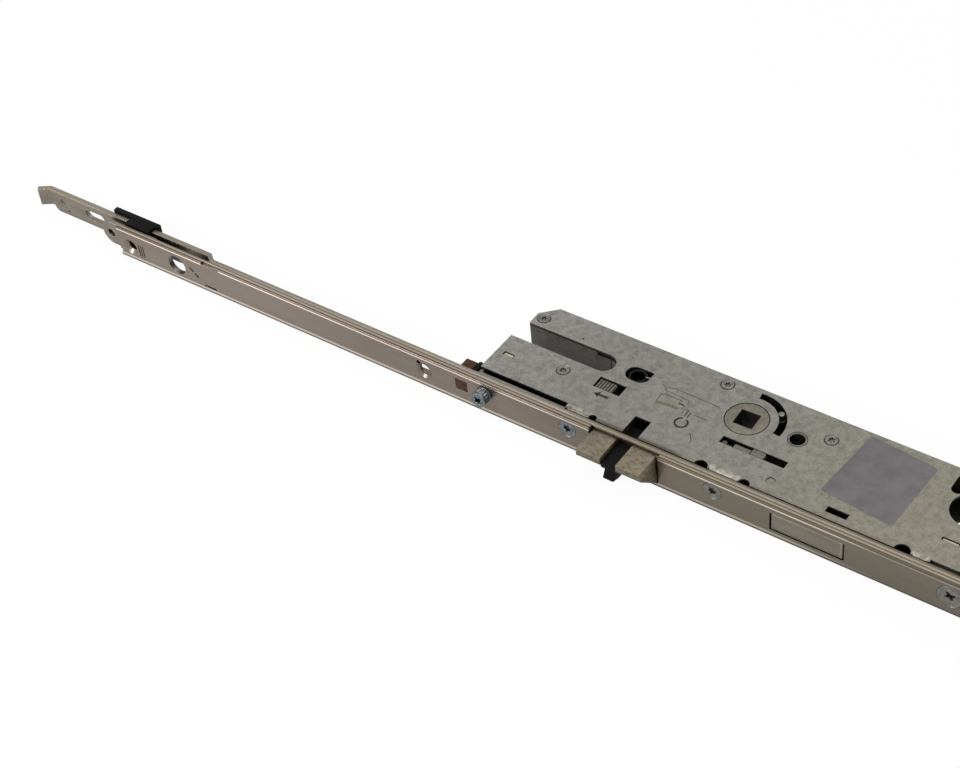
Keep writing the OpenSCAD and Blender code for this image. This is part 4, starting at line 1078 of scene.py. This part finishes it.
# %% [markdown]
# ## The studio
# The photograph has an even white ground and soft light from all round. A pale floor
# lies under the lock. To the camera and to mirror-like surfaces the floor and the sky
# are white, and only the light that falls on the lock is weaker, so the ground is
# white without the metal being washed out.

# %% Floor and sky
FLOOR_REACH, FLOOR_GAP = 6.0, 0.0002  # metres from the middle to an edge, and under the lock


def seen_directly(tree):
    """1 for camera, mirror and glass rays, 0 for the light that falls on surfaces."""
    path = add(tree, "ShaderNodeLightPath").outputs
    first = math_node(tree, "MAXIMUM", path["Is Camera Ray"], path["Is Glossy Ray"])
    return math_node(tree, "MAXIMUM", first, path["Is Transmission Ray"])


def build_floor():
    material, tree, shader = new_material("pale_floor")
    shader.inputs["Base Color"].default_value = (0.8, 0.8, 0.8, 1)
    shader.inputs["Roughness"].default_value = 0.9
    shader.inputs["Specular IOR Level"].default_value = 0.0
    glow = add(tree, "ShaderNodeEmission", {"Color": (1, 1, 1, 1), "Strength": 1.0})
    share = math_node(tree, "MULTIPLY", seen_directly(tree), 0.95)
    mix = add(tree, "ShaderNodeMixShader", {0: share, 1: shader.outputs[0], 2: glow.outputs[0]})
    tree.links.new(mix.outputs[0], tree.nodes["Material Output"].inputs["Surface"])
    mesh = bpy.data.meshes.new("floor")
    far, z = FLOOR_REACH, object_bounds()[0][2] - FLOOR_GAP
    mesh.from_pydata([(-far, -far, z), (far, -far, z), (far, far, z), (-far, far, z)], [],
                     [(0, 1, 2, 3)])
    mesh.materials.append(material)
    floor = new_piece("floor", mesh)
    floor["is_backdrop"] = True
    return floor


floor = build_floor()
world = bpy.data.worlds.new("studio")
bpy.context.scene.world = world
world.use_nodes = True
sky = world.node_tree
sky.nodes.clear()
soft = add(sky, "ShaderNodeBackground", {"Color": (1.0, 0.99, 0.97, 1), "Strength": 0.55})
white = add(sky, "ShaderNodeBackground", {"Color": (1, 1, 1, 1), "Strength": 1.0})
mix = add(sky, "ShaderNodeMixShader", {0: seen_directly(sky), 1: soft.outputs[0],
                                       2: white.outputs[0]})
add(sky, "ShaderNodeOutputWorld", {"Surface": mix.outputs[0]})
print("floor at", round(floor.data.vertices[0].co.z * 1000, 2), "mm")

# %% [markdown]
# ## The lamps
# The long edges nearest the camera catch a line of light and the cover stays even, so
# the light is broad. A large square lamp overhead fills the whole lock, and a smaller
# and slightly warm one, low in front and towards the upper end, draws the edges.

# %% Lamps
LIT_PLACE = at(-60, 10, 0)  # a little up the door from the spindle, behind the faceplate


def lamp(name, direction, distance, size, power, tint=(1, 1, 1)):
    """A soft square lamp that faces the lock from a direction, in metres and watts."""
    data = bpy.data.lights.new(name, "AREA")
    data.size, data.energy, data.color = size, power, tint
    obj = bpy.data.objects.new(name, data)
    obj.location = Vector(direction).normalized() * distance + LIT_PLACE
    obj.rotation_euler = (LIT_PLACE - obj.location).to_track_quat("-Z", "Y").to_euler()
    bpy.context.scene.collection.objects.link(obj)


lamp("key", (-0.47, -0.68, 0.56), distance=1.4, size=0.4, power=13.0, tint=(1.0, 0.985, 0.96))
lamp("top", (0.1, 0.25, 1.0), distance=1.5, size=1.2, power=9.0)
print("lamps", len(bpy.data.lights))

# %% View settings and the end
bpy.context.scene.view_settings.view_transform = "Standard"
